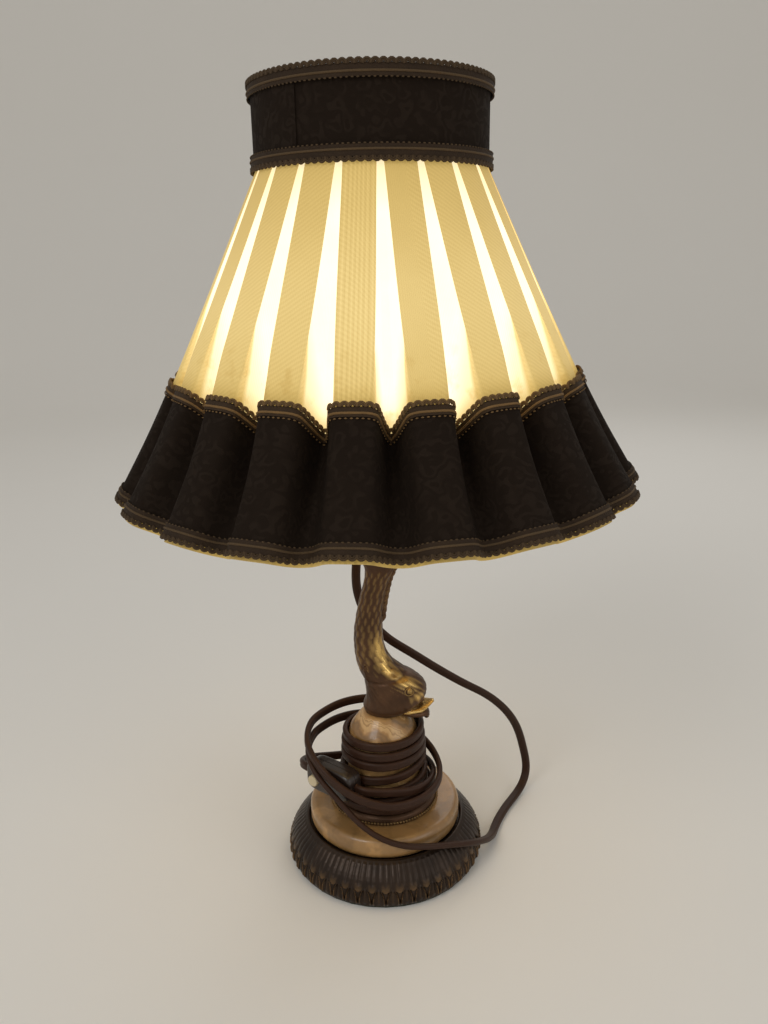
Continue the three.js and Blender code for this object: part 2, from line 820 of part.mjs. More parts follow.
const hemLength = 2 * Math.hypot(
  hemRidge.radius - borderRidge.radius,
  hemRidge.height - borderRidge.height,
);
const braidShare = braidWidth / hemLength;
const borderInner = clothThickness / 2 + layerGap;
const borderOuter = borderInner + clothThickness;
const braidInner = borderOuter + 2 * layerGap;
const braidOuter = braidInner + braidThickness;
const borderRows = drapeRows.slice(2, -1).concat(0.99);
const braidMiddle = borderStart + braidShare / 2;
piece(shade, 'pleated_cloth', layer(
  drapeRows,
  -clothThickness / 2,
  drapeRows,
  clothThickness / 2,
), ivoryCloth);
piece(shade, 'border_cloth', layer(borderRows, borderInner, borderRows, borderOuter), darkCloth);
piece(shade, 'border_braid', layer(
  [borderStart, borderStart + braidShare],
  braidInner,
  [braidMiddle],
  braidOuter,
), goldBraid);
piece(shade, 'hem_braid', layer(
  [1 - braidShare, 1],
  braidInner,
  [1 - braidShare / 2],
  braidOuter,
), goldBraid);

// Mains lead. The switch lies against the winding: its long axis runs from its entry,
// by the front of the column, to its exit at the left.
const switchCentre = new THREE.Vector3(-32, -21, 64.5);
const switchAxis = new THREE.Vector3(0.8, -0.6, 0);
const flexRadius = (flexWidth + flexThickness) / 4;
const switchEntry = switchCentre.clone().addScaledVector(switchAxis, switchLength / 2 + endGap);
const switchExit = switchCentre.clone().addScaledVector(switchAxis, -switchLength / 2 - endGap);

// The winding round the column, clockwise from above: a loose loop that passes over the
// switch, three tight turns, and the pile at the foot. Each station is
// [turns, radius, height], and the path between them is a smooth curve.
const windingStations = [
  [0, 40.5, 82],
  [0.16, 32, 79],
  [0.34, 34, 65.5],
  [0.47, 37.5, 58],
  [0.66, 41.5, 57],
  [0.76, 44.5, 65],
  [0.82, 48, 74.5],
  [0.87, 50.5, 83.5],
  [0.93, 48.5, 89.5],
  [1, 41.5, 91.5],
  [1.16, 31, 92.1],
  [1.4, 25, 90.2],
  [2.4, 25.5, 83.6],
  [3.4, 25.9, 77],
  [4.4, 26.3, 70.4],
  [4.9, 26.8, 62.6],
  [5.9, 27.3, 56],
  [7.1, 28, 47.6],
  [7.6, 32.3, 47.6],
  [8.3, 32.3, 53],
  [8.5, 33.2, 57],
  [8.66, 35.8, 63],
];
const windingTurns = windingStations[windingStations.length - 1][0];

function windingPoint(turns) {
  const last = windingStations.length - 1;
  let i = windingStations.findIndex(([value]) => value > turns) - 1;
  if (i < 0) i = last - 1;
  const slope = (k, column) => {
    const before = windingStations[Math.max(k - 1, 0)];
    const after = windingStations[Math.min(k + 1, last)];
    return (after[column] - before[column]) / (after[0] - before[0]);
  };
  const span = windingStations[i + 1][0] - windingStations[i][0];
  const u = (turns - windingStations[i][0]) / span;
  const [radius, height] = [1, 2].map((column) => {
    const [from, to] = [windingStations[i][column], windingStations[i + 1][column]];
    const [leave, arrive] = [slope(i, column) * span, slope(i + 1, column) * span];
    return from + u * leave + u * u * (3 * (to - from) - 2 * leave - arrive)
      + u * u * u * (2 * (from - to) + leave + arrive);
  });
  return polar(radius, windingStartAngle - 360 * turns, height);
}

function flexSection(centre, heading, width, thickness) {
  const outward = new THREE.Vector3(centre.x, centre.y, 0).normalize();
  const across = new THREE.Vector3().crossVectors(heading, outward).normalize();
  const flat = new THREE.Vector3().crossVectors(across, heading).normalize();
  return {
    centre,
    u: flat.multiplyScalar(thickness / 2),
    v: across.multiplyScalar(width / 2),
  };
}

const windingPath = [];
for (let turns = 0; turns <= windingTurns; turns += 1 / stepsPerTurn) {
  windingPath.push(windingPoint(turns));
}
const switchRun = switchEntry.clone().addScaledVector(switchAxis, flexWidth);
windingPath.push(switchRun, switchEntry);
const windingSections = windingPath.map((centre, i) => {
  const before = windingPath[Math.max(i - 1, 0)];
  const after = windingPath[Math.min(i + 1, windingPath.length - 1)];
  const heading = after.clone().sub(before).normalize();
  return flexSection(centre.clone(), heading, flexWidth, flexThickness);
});

function leastGapInWinding() {
  const onSurface = windingSections.map(({ centre, u, v }) => {
    const points = [];
    for (let j = 0; j < 12; j += 1) {
      const angle = (Math.PI * j) / 6;
      points.push(centre.clone().addScaledVector(u, Math.cos(angle))
        .addScaledVector(v, Math.sin(angle)));
    }
    return points;
  });
  let least = Infinity;
  for (let i = 0; i < onSurface.length; i += 1) {
    for (let k = i + stepsPerTurn / 2; k < onSurface.length; k += 1) {
      for (const p of onSurface[i]) {
        for (const q of onSurface[k]) least = Math.min(least, p.distanceTo(q));
      }
    }
  }
  return least;
}
console.log(`least gap in the winding ${leastGapInWinding().toFixed(2)} mm`);
piece(lamp, 'cord_winding', loft(windingSections, 6), flexBrown);

function flexTube(points, steps) {
  const section = new THREE.Shape();
  for (let i = 0; i < 8; i += 1) {
    const angle = radians(45 * i);
    const corner = [flexRadius * Math.cos(angle), flexRadius * Math.sin(angle)];
    if (i === 0) section.moveTo(...corner);
    else section.lineTo(...corner);
  }
  const path = new THREE.CatmullRomCurve3(points);
  return new THREE.ExtrudeGeometry(section, { steps, bevelEnabled: false, extrudePath: path });
}

const glandTip = new THREE.Vector3(0, holderRadius + glandLength + endGap, glandAxis);
const freeRoute = [
  [-1, 52, 248.5], [-3, 56.5, 242], [-5.5, 58, 233], [-8.5, 56, 222], [-11.5, 50.5, 211],
  [-14, 44, 200], [-16, 38, 187], [-16, 33.5, 172], [-11.5, 30.5, 157.5], [-4, 29.5, 146],
  [5, 30, 136.5], [19, 32, 126], [35.8, 35, 112.8], [55.6, 40, 97.7], [73.5, 45, 85],
  [87, 50, 70.6], [95.4, 54, 56.7], [100, 57, 44], [103, 59, 32], [105.5, 60, 21],
  [105.5, 58, 11.5], [101.5, 52.5, 5], [94.5, 42.5, 3], [88, 32.5, 3], [82, 22, 3],
  [77, 11.5, 3], [73.5, 1, 4.2], [70.5, -8, 8], [66.5, -16.5, 12.5], [61, -24.5, 17.5],
  [54.5, -31.5, 22], [46, -37.5, 26], [36, -43.3, 29.8], [23, -48.5, 33.2],
  [10, -51.3, 36.6], [-2, -50.3, 40.8], [-12, -46.8, 45.8], [-20, -42.3, 51.4],
  [-26, -38.8, 57.2], [-36.2, -32.4, 66], [-45.2, -24.4, 74.5], [-48.6, -12, 79.8],
  [-46.6, 1.5, 81.8],
].map((p) => new THREE.Vector3(...p));
const windingHeading = windingPath[1].clone().sub(windingPath[0]).normalize();
const freeEnd = windingPath[0].clone().addScaledVector(windingHeading, -endGap);
const freeRun = windingPath[0].clone().addScaledVector(windingHeading, -flexWidth);
piece(lamp, 'cord_free', flexTube([
  glandTip,
  glandTip.clone().add(new THREE.Vector3(0, flexWidth, 0)),
  ...freeRoute,
  freeRun,
  freeEnd,
], 60), flexBrown);

const plugStart = new THREE.Vector3(2, 86, plugThickness / 2);
const tailRoute = [
  [-54.2, 0.5, 62.3], [-52.8, 9, 59], [-47, 17.5, 55], [-38, 25, 50.8],
  [-28, 32, 47.2], [-17, 38.5, 44.2], [-7.5, 45, 42], [-1, 51, 38], [1.5, 57, 30.5],
  [2, 62, 23.5], [2, 66.8, 16.5], [2, 71, 10.5], [2, 75.5, 7.7],
].map((p) => new THREE.Vector3(...p));
piece(lamp, 'cord_tail', flexTube([
  switchExit,
  switchExit.clone().addScaledVector(switchAxis, -flexWidth),
  ...tailRoute,
  plugStart.clone().add(new THREE.Vector3(0, -flexWidth, 0)),
  plugStart.clone().add(new THREE.Vector3(0, -endGap, 0)),
], 26), flexBrown);

// Switch: two half shells with the seam between them, and a push button in the outer one
const cordSwitch = new THREE.Group();
cordSwitch.position.copy(switchCentre);
cordSwitch.rotation.z = Math.atan2(switchAxis.y, switchAxis.x);
lamp.add(cordSwitch);

function switchHalf(innerFace, outerFace) {
  const outline = new THREE.Shape();
  const [end, half] = [switchLength / 2, switchWidth / 2];
  const [shoulder, nose] = [end - 6, half - 4.5];
  outline.moveTo(-end, -nose);
  outline.quadraticCurveTo(-end, -half, -shoulder, -half);
  outline.lineTo(shoulder, -half);
  outline.quadraticCurveTo(end, -half, end, -nose);
  outline.lineTo(end, nose);
  outline.quadraticCurveTo(end, half, shoulder, half);
  outline.lineTo(-shoulder, half);
  outline.quadraticCurveTo(-end, half, -end, nose);
  outline.closePath();
  const depth = Math.abs(outerFace - innerFace);
  const slab = new THREE.ExtrudeGeometry(outline, { depth, curveSegments: 4, bevelEnabled: false });
  return slab.translate(0, 0, Math.min(innerFace, outerFace)).rotateX(Math.PI / 2);
}

function buttonCylinder(radius, from, to) {
  return new THREE.CylinderGeometry(radius, radius, to - from, 16)
    .translate(buttonPlace, -(from + to) / 2, buttonDrop);
}

const switchFace = switchThickness / 2;
const cover = switchHalf(seamGap / 2, switchFace);
const well = buttonCylinder(buttonRadius + runningGap, wellFloor, switchThickness);
piece(cordSwitch, 'switch_cover', cut(cover, well), bakelite);
piece(cordSwitch, 'switch_base', switchHalf(-seamGap / 2, -switchFace), bakelite);
piece(cordSwitch, 'switch_button', buttonCylinder(
  buttonRadius,
  wellFloor + runningGap + buttonTravel,
  switchFace + buttonTravel + buttonStandOff,
), cream);

// Plug: it lies on the table behind the base. A section is set by its share of the length.
function plugSection(share, width, thickness) {
  return {
    centre: new THREE.Vector3(plugStart.x, plugStart.y + share * plugLength, plugStart.z),
    u: new THREE.Vector3(width / 2, 0, 0),
    v: new THREE.Vector3(0, 0, thickness / 2),
  };
}
const roundedBody = [
  plugSection(0, 9, 8),
  plugSection(0.45, 12, 9.5),
  plugSection(0.62, 0.8 * plugWidth, 0.86 * plugThickness),
  plugSection(0.77, plugWidth, plugThickness),
  plugSection(1, plugWidth, plugThickness),
];
piece(lamp, 'plug_body', loft(roundedBody, 16), bakelite);
['left', 'right'].forEach((name, i) => {
  const x = plugStart.x + (i - 0.5) * pinSpacing;
  const pin = new THREE.CylinderGeometry(pinRadius, pinRadius, pinLength, 10)
    .translate(x, plugStart.y + plugLength + pinLength / 2, plugStart.z);
  piece(lamp, `plug_pin_${name}`, pin, nickel);
});

export default lamp;
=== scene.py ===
"""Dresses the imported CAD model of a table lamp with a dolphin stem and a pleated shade.

Sizes are in millimetres until a mesh is made, which is in metres, +Z up, with the lamp's
front towards -Y. Every piece keeps its place in its mesh and rides on a body of the model.
"""

import json
import math
import random

import bmesh
import bpy
import numpy as np
from bpy.props import FloatProperty, FloatVectorProperty, IntProperty, PointerProperty
from mathutils import Matrix, Vector


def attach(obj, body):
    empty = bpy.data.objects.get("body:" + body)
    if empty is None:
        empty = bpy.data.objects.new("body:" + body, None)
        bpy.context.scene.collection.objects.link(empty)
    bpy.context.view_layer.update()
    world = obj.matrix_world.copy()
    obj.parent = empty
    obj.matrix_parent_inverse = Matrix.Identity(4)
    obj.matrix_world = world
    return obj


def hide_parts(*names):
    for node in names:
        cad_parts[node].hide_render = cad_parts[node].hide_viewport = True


bl_info = {
    "name": "Dolphin lamp",
    "version": (1, 0, 0),
    "blender": (4, 5, 0),
    "location": "3D View > Sidebar > Lamp",
    "description": "Onyx and bronze table lamp with a pleated shade and its flex wound round it",
    "category": "Add Mesh",
}

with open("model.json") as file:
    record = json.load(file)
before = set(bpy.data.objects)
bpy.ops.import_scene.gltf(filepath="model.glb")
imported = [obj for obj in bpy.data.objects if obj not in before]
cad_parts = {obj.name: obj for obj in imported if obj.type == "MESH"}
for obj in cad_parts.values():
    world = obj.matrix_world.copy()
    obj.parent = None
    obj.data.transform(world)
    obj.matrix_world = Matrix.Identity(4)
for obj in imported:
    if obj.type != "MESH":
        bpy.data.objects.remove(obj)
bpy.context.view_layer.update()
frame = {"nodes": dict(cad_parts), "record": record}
MM = 0.001

# Heights of the stack in the CAD model
DISC_FOOT = 24.0
BEAD_FOOT = 38.0
COLUMN_FOOT = 44.0
STEM_FOOT = 102.0
CUP_FOOT = 230.0
SHOULDER_TOP = 282.0
BULB_CAP_TOP = 294.4
COLLAR_BOTTOM = SHOULDER_TOP + 144.3
COLLAR_HEIGHT = 40.6
COLLAR_RADIUS = 62.3
COLLAR_TOP = COLLAR_BOTTOM + COLLAR_HEIGHT


# Settings that a user would change


def size(name, text, default):
    return FloatProperty(name=name, description=text, default=default * MM, min=0.0,
                         subtype="DISTANCE", unit="LENGTH", precision=4)


def colour(name, text, default):
    return FloatVectorProperty(name=name, description=text, default=default, size=3,
                               min=0.0, max=1.0, subtype="COLOR")


class LampSizes(bpy.types.PropertyGroup):
    """Sizes of the soft and repeated details"""
    cloth: size("Cloth", "Thickness of the pleated cloth", 0.35)
    brocade: size("Brocade", "Thickness of the dark border cloth", 0.6)
    fold: size("Fold", "Depth of the cloth folded under each pleat at the collar", 8.0)
    scallop: size("Scallop pitch", "Distance between two scallops of the braid", 3.8)
    braid_cord: size("Braid cord", "Radius of the cord that the braid is made of", 0.6)
    stitch: size("Stitch pitch", "Distance between two stitches along the braid", 2.6)
    flex_width: size("Flex width", "Width of the flat twin flex", 6.0)
    flex_thickness: size("Flex thickness", "Thickness of the flat twin flex", 3.6)
    bead: size("Bead", "Radius of a bead on the brass ring", 0.95)
    leaves: IntProperty(name="Leaves", description="Leaves round the bronze ring",
                        default=46, min=8)
    beads: IntProperty(name="Beads", description="Beads round the brass ring",
                       default=108, min=8)


class LampColours(bpy.types.PropertyGroup):
    """Colours of the finishes"""
    ivory: colour("Ivory cloth", "Pleated cloth where no light comes through", (0.48, 0.345, 0.11))
    glow: colour("Lit cloth", "Light that comes through one layer of cloth", (1.0, 0.93, 0.77))
    amber: colour("Dim light", "Light that comes through three layers of cloth", (0.97, 0.58, 0.10))
    brocade: colour("Brocade", "Ground of the dark brocade", (0.0125, 0.0078, 0.0050))
    figure: colour("Brocade figure", "Figure woven into the brocade", (0.0215, 0.0135, 0.0085))
    braid: colour("Braid", "Gimp braid", (0.040, 0.022, 0.010))
    braid_line: colour("Braid line", "Raised cord and stitches of the braid", (0.125, 0.082, 0.042))
    braid_lit: colour("Lit braid", "Braid that light falls through", (0.22, 0.125, 0.045))
    patina: colour("Patina", "Dark patina of the bronze", (0.024, 0.0145, 0.009))
    bronze: colour("Bronze", "Bronze where the patina is worn", (0.27, 0.165, 0.080))
    umber: colour("Dolphin patina", "Brown patina of the dolphin", (0.062, 0.030, 0.014))
    # The gilt colour shows on worn relief, and also paints the highlight patches on the dolphin's
    # head and neck
    gilt: colour("Gilt", "Gilding left on the dolphin", (0.82, 0.54, 0.18))
    honey: colour("Honey onyx", "Ground of the onyx", (0.32, 0.18, 0.066))
    cream: colour("Onyx band", "Pale bands of the onyx column", (0.62, 0.41, 0.19))
    flex: colour("Flex", "Brown sheath of the flex", (0.038, 0.0165, 0.009))


class LampStage(bpy.types.PropertyGroup):
    """Studio light and floor"""
    key: FloatProperty(name="Key lamp", description="Power of the main lamp", default=5.5,
                       min=0.0, subtype="POWER", unit="POWER")
    fill: FloatProperty(name="Fill lamp", description="Power of the fill lamp", default=2.4,
                        min=0.0, subtype="POWER", unit="POWER")
    surround: FloatProperty(name="Surround", description="Strength of the light all round",
                            default=0.46, min=0.0)
    floor: colour("Floor", "Pale floor and background", (0.86, 0.84, 0.80))


class LampSettings(bpy.types.PropertyGroup):
    """All settings of the lamp"""
    sizes: PointerProperty(type=LampSizes)
    colours: PointerProperty(type=LampColours)
    stage: PointerProperty(type=LampStage)


def settings():
    return bpy.context.scene.dolphin_lamp


def millimetres(length):
    return length / MM


# Nodes


def plug_in(tree, node, values):
    """Sets a node's inputs by name, each to a constant or to a link."""
    for name, value in values.items():
        label = name.replace("_", " ").strip().lower()
        sockets = [s for s in node.inputs if s.enabled and s.name.lower() == label]
        if not sockets:
            raise RuntimeError(f"{node.bl_idname} has no input named {name}")
        value = getattr(value, "socket", value)
        if isinstance(value, bpy.types.NodeSocket):
            tree.links.new(value, sockets[0])
        elif sockets[0].type == "RGBA":
            sockets[0].default_value = (*value[:3], 1.0)
        else:
            sockets[0].default_value = value


class NodeTree:
    """A node tree, to which one method adds nodes."""

    def node(self, kind, choices=None, output=None, **values):
        """Adds a node with its choices and inputs, and returns its first or named output."""
        node = self.tree.nodes.new(kind)
        for key, value in (choices or {}).items():
            setattr(node, key, value)
        plug_in(self.tree, node, values)
        return next(s for s in node.outputs if s.enabled and output in (None, s.name))


FULL_TURN = 6.283


class Field:
    """A number that varies over a surface. Arithmetic on it adds Math nodes."""

    def __init__(self, tree, socket):
        self.tree, self.socket = tree, socket

    def math(self, operation, *others):
        node = self.tree.nodes.new("ShaderNodeMath")
        node.operation = operation
        for place, value in zip(node.inputs, (self, *others)):
            if isinstance(value, Field):
                self.tree.links.new(value.socket, place)
            else:
                place.default_value = value
        return Field(self.tree, node.outputs[0])

    def __add__(self, other):
        return self.math("ADD", other)

    def __sub__(self, other):
        return self.math("SUBTRACT", other)

    def __mul__(self, other):
        return self.math("MULTIPLY", other)

    def __truediv__(self, other):
        return self.math("DIVIDE", other)

    def __rsub__(self, other):
        return self * -1.0 + other

    __radd__ = __add__

    def sine(self):
        return self.math("SINE")

    def turns(self, length):
        """The angle that grows by one turn over a length."""
        return self * (FULL_TURN / length)

    def wave(self):
        """The sine of an angle, moved to the range from 0 to 1."""
        return self.sine() * 0.5 + 0.5

    def clamped(self):
        return self.math("MAXIMUM", 0.0).math("MINIMUM", 1.0)

    def step(self, low, high):
        return ((self - low) / (high - low)).clamped()


class Finish(NodeTree):
    """A material, built from expressions on its fields and colours."""

    def __init__(self, name, **constants):
        self.material = bpy.data.materials.new(name)
        self.material.use_nodes = True
        self.tree = self.material.node_tree
        self.shader = self.tree.nodes["Principled BSDF"]
        self.place = self.node("ShaderNodeTexCoord", output="Object")
        self.set(**constants)

    def set(self, **values):
        plug_in(self.tree, self.shader, values)

    def field(self, name):
        return Field(self.tree, self.node("ShaderNodeAttribute", {"attribute_name": name}, "Fac"))

    def axis(self, letter, source):
        return Field(self.tree, self.node("ShaderNodeSeparateXYZ", output=letter, Vector=source))

    def cloth_place(self):
        return self.node("ShaderNodeUVMap", {"uv_map": "cloth"})

    def noise(self, scale, detail=3.0, source=None, rough=0.55):
        return Field(self.tree, self.node("ShaderNodeTexNoise", output="Fac",
                                          Vector=source or self.place, Scale=scale,
                                          Detail=detail, Roughness=rough))

    def cells(self, scale, source):
        return Field(self.tree, self.node("ShaderNodeTexVoronoi", {"feature": "SMOOTH_F1"},
                                          "Distance", Vector=source, Scale=scale))

    def mix(self, share, first, second):
        return self.node("ShaderNodeMix", {"data_type": "RGBA"}, Factor=share, A=first, B=second)

    def mottled(self, share, tint, first, second):
        """A mix of two shades of one tint."""
        return self.mix(share, shade(tint, first), shade(tint, second))

    def ramp(self, share, stops):
        node = self.tree.nodes.new("ShaderNodeValToRGB")
        plug_in(self.tree, node, {"Fac": share})
        bands = node.color_ramp.elements
        while len(bands) < len(stops):
            bands.new(0.5)
        for band, (place, tint) in zip(bands, stops):
            band.position = place
            band.color = (*tint, 1.0)
        return node.outputs["Color"]

    def bump(self, height, distance, strength):
        self.set(Normal=self.node("ShaderNodeBump", Height=height, Distance=distance,
                                  Strength=strength))
        return self


class Pattern(NodeTree):
    """A Geometry Nodes tree with named inputs, run once and turned into a plain mesh."""

    KINDS = {"length": "NodeSocketFloat", "count": "NodeSocketInt", "angle": "NodeSocketFloat",
             "object": "NodeSocketObject", "material": "NodeSocketMaterial"}

    def __init__(self, name, **inputs):
        self.tree = bpy.data.node_groups.new(name, "GeometryNodeTree")
        face = self.tree.interface
        for way in ("INPUT", "OUTPUT"):
            face.new_socket("Geometry", in_out=way, socket_type="NodeSocketGeometry")
        self.names = {}
        for key, kind in inputs.items():
            label = key.replace("_", " ").capitalize()
            made = face.new_socket(label, in_out="INPUT", socket_type=self.KINDS[kind])
            self.names[key] = made.identifier
        self.inlet = self.tree.nodes.new("NodeGroupInput")
        self.geometry = self.inlet.outputs["Geometry"]

    def given(self, key):
        return next(s for s in self.inlet.outputs if s.identifier == self.names[key])

    def shift(self, direction, distance):
        return self.node("ShaderNodeVectorMath", {"operation": "SCALE"}, Vector=direction,
                         Scale=distance)

    def vectors(self, name):
        return self.node("GeometryNodeInputNamedAttribute", {"data_type": "FLOAT_VECTOR"},
                         Name=name)

    def gather(self, *parts):
        node = self.tree.nodes.new("GeometryNodeJoinGeometry")
        for part in parts:
            self.tree.links.new(part, node.inputs[0])
        return node.outputs[0]

    def close(self, geometry, material):
        whole = self.node("GeometryNodeRealizeInstances", Geometry=geometry)
        dressed = self.node("GeometryNodeSetMaterial", Geometry=whole, Material=material)
        outlet = self.tree.nodes.new("NodeGroupOutput")
        self.tree.links.new(dressed, outlet.inputs["Geometry"])

    def run(self, carrier, name, **values):
        """Runs the tree on the carrier object, which it uses up, and returns the new piece."""
        modifier = carrier.modifiers.new("pattern", "NODES")
        modifier.node_group = self.tree
        for key, value in values.items():
            modifier[self.names[key]] = value
        mesh = evaluated_mesh(carrier)
        bpy.data.objects.remove(carrier)
        mesh.name = name
        if not mesh.polygons:
            raise RuntimeError(f"the pattern for {name} made no faces")
        return in_scene(name, mesh)


# Forms


def polar(radius, degrees, height):
    angle = math.radians(degrees)
    return Vector((radius * math.cos(angle), radius * math.sin(angle), height))


def ease(low, high, value):
    share = min(max((value - low) / (high - low), 0.0), 1.0)
    return share * share * (3.0 - 2.0 * share)


def cubic(start, leave, end, arrive, u):
    """A point of the curve from start to end that has these directions at its ends."""
    return (start * (2 * u**3 - 3 * u**2 + 1) + leave * (u**3 - 2 * u**2 + u)
            + end * (3 * u**2 - 2 * u**3) + arrive * (u**3 - u**2))


def between_stations(stations, place):
    """Values between stations, on smooth curves. The first value of each is its place."""
    last = len(stations) - 1
    i = next((k for k in range(last) if stations[k + 1][0] > place), last - 1)
    span = stations[i + 1][0] - stations[i][0]
    u = (place - stations[i][0]) / span

    def slope(k, column):
        before, after = stations[max(k - 1, 0)], stations[min(k + 1, last)]
        return (after[column] - before[column]) / (after[0] - before[0])

    values = []
    for column in range(1, len(stations[0])):
        start, end = stations[i][column], stations[i + 1][column]
        leave, arrive = slope(i, column) * span, slope(i + 1, column) * span
        values.append(start + u * leave + u * u * (3 * (end - start) - 2 * leave - arrive)
                      + u**3 * (2 * (start - end) + leave + arrive))
    return values


def in_scene(name, data):
    thing = bpy.data.objects.new(name, data)
    bpy.context.scene.collection.objects.link(thing)
    return thing


def new_piece(name, points, faces, edges=()):
    mesh = bpy.data.meshes.new(name)
    mesh.from_pydata([(p[0] * MM, p[1] * MM, p[2] * MM) for p in points], list(edges), faces)
    mesh.update()
    return in_scene(name, mesh)


def ball(name, make, centre, relief, **choices):
    """A smooth ball made by one of bmesh's operators, with one relief all over."""
    shape = bmesh.new()
    make(shape, **choices)
    bmesh.ops.translate(shape, verts=shape.verts, vec=[x * MM for x in centre])
    piece = new_piece(name, [], [])
    shape.to_mesh(piece.data)
    shape.free()
    store(piece, "relief", relief)
    piece.data.shade_smooth()
    return piece


def face_outwards(piece, merge=False):
    """Turns all faces outwards, after merging points that share a place if wanted."""
    shape = bmesh.new()
    shape.from_mesh(piece.data)
    if merge:
        bmesh.ops.remove_doubles(shape, verts=shape.verts, dist=0.001 * MM)
    bmesh.ops.recalc_face_normals(shape, faces=shape.faces)
    shape.to_mesh(piece.data)
    shape.free()
    return piece


def soften(piece, degrees):
    """Shades the piece smooth, except at edges sharper than an angle."""
    piece.data.shade_smooth()
    piece.data.set_sharp_from_angle(angle=math.radians(degrees))
    return piece


def evaluated_mesh(piece):
    graph = bpy.context.evaluated_depsgraph_get()
    return bpy.data.meshes.new_from_object(piece.evaluated_get(graph), depsgraph=graph)


def apply_modifiers(piece):
    mesh = evaluated_mesh(piece)
    piece.modifiers.clear()
    piece.data = mesh
    return piece


def add_wall(piece, thickness, offset=0.0):
    """Gives a sheet a thickness, on both sides of it or inwards, until modifiers are applied."""
    wall = piece.modifiers.new("wall", "SOLIDIFY")
    wall.thickness, wall.offset = thickness, offset


def cut_out(piece, tool, crosses_itself=False):
    """Takes the room of a tool out of the piece, and removes the tool."""
    room = piece.modifiers.new("room", "BOOLEAN")
    room.operation, room.solver, room.object = "DIFFERENCE", "EXACT", tool
    room.use_self = crosses_itself
    apply_modifiers(piece)
    bpy.data.objects.remove(tool)


def joined(name, pieces):
    with bpy.context.temp_override(active_object=pieces[0], object=pieces[0],
                                   selected_objects=pieces, selected_editable_objects=pieces):
        bpy.ops.object.join()
    pieces[0].name = name
    pieces[0].data.name = name
    return pieces[0]


def store(piece, name, values):
    """Stores a value for each point, or one value for all of them."""
    layer = piece.data.attributes.new(name, "FLOAT", "POINT")
    if isinstance(values, float):
        values = [values] * len(layer.data)
    layer.data.foreach_set("value", values)


def store_vectors(piece, name, values):
    layer = piece.data.attributes.new(name, "FLOAT_VECTOR", "POINT")
    layer.data.foreach_set("vector", [x for value in values for x in value])


def store_flat(piece, corners):
    """Stores where each corner of each face lies on the flat cloth."""
    layer = piece.data.uv_layers.new(name="cloth")
    layer.data.foreach_set("uv", [place * MM for corner in corners for place in corner])


def tube_faces(rings, around, joined_up=False):
    """Faces between rings of points, whose first and last are joined up or capped."""
    faces = []
    for i in range(rings if joined_up else rings - 1):
        here, there = i * around, ((i + 1) % rings) * around
        for j in range(around):
            k = (j + 1) % around
            faces.append((here + j, here + k, there + k, there + j))
    if not joined_up:
        faces.append(tuple(range(around - 1, -1, -1)))
        faces.append(tuple(range((rings - 1) * around, rings * around)))
    return faces


def sheet_faces(rows, around, joined_up=False):
    """Faces between rows of points that each close on themselves, without caps."""
    faces = []
    for i in range(rows if joined_up else rows - 1):
        here, there = i * around, ((i + 1) % rows) * around
        for j in range(around):
            k = (j + 1) % around
            faces.append((here + j, there + j, there + k, here + k))
    return faces


def turned(name, profile, segments=144):
    """A turned piece from a closed profile of [radius, height] points."""
    points = []
    for i in range(segments):
        points += [polar(r, 360.0 * i / segments, z) for r, z in profile]
    piece = new_piece(name, points, tube_faces(segments, len(profile), joined_up=True))
    return soften(face_outwards(piece, merge=True), 38.0)


def rounded(profile, reach, steps):
    """The closed profile with its corners rounded over a distance, but not on the axis."""
    result = []
    for i, corner in enumerate(profile):
        here = Vector(corner)
        before = Vector(profile[i - 1]) - here
        after = Vector(profile[(i + 1) % len(profile)]) - here
        if here[0] < 0.01 or min(before.length, after.length) < 0.05:
            result.append(tuple(here))
            continue
        start = here + before * min(reach / before.length, 0.45)
        end = here + after * min(reach / after.length, 0.45)
        for step in range(steps + 1):
            u = step / steps
            result.append(tuple(start * (1 - u) ** 2 + here * 2 * u * (1 - u) + end * u * u))
    return result


def through(points, spacing):
    """A smooth curve through points, as points a distance apart."""
    points = [Vector(p) for p in points]
    knots = [points[0] * 2 - points[1]] + points + [points[-1] * 2 - points[-2]]
    dense = []
    for a, b, c, d in zip(knots, knots[1:], knots[2:], knots[3:]):
        gaps = [max((q - p).length, 1e-6) ** 0.5 for p, q in ((a, b), (b, c), (c, d))]
        leave = ((b - a) / gaps[0] - (c - a) / (gaps[0] + gaps[1]) + (c - b) / gaps[1]) * gaps[1]
        arrive = ((c - b) / gaps[1] - (d - b) / (gaps[1] + gaps[2]) + (d - c) / gaps[2]) * gaps[1]
        dense += [cubic(b, leave, c, arrive, step / 12) for step in range(12)]
    dense.append(points[-1].copy())
    return evenly(dense, spacing)


def evenly(points, spacing):
    """Points at equal distances on the same line."""
    steps = [(q - p).length for p, q in zip(points, points[1:])]
    lengths = np.concatenate([[0.0], np.cumsum(steps)])
    count = max(int(round(lengths[-1] / spacing)), 2)
    wanted = np.linspace(0.0, lengths[-1], count + 1)
    table = np.array([tuple(p) for p in points])
    columns = [np.interp(wanted, lengths, table[:, k]) for k in range(3)]
    return [Vector(p) for p in zip(*columns)]


def tangents(path):
    return [(path[min(i + 1, len(path) - 1)] - path[max(i - 1, 0)]).normalized()
            for i in range(len(path))]


def carried_frames(path, first):
    """Directions square to the path that turn no more than it does, from a first one."""
    headings = tangents(path)
    side = (first - headings[0] * first.dot(headings[0])).normalized()
    sides = [side]
    for before, after in zip(headings, headings[1:]):
        side = before.rotation_difference(after) @ side
        sides.append((side - after * side.dot(after)).normalized())
    return headings, sides


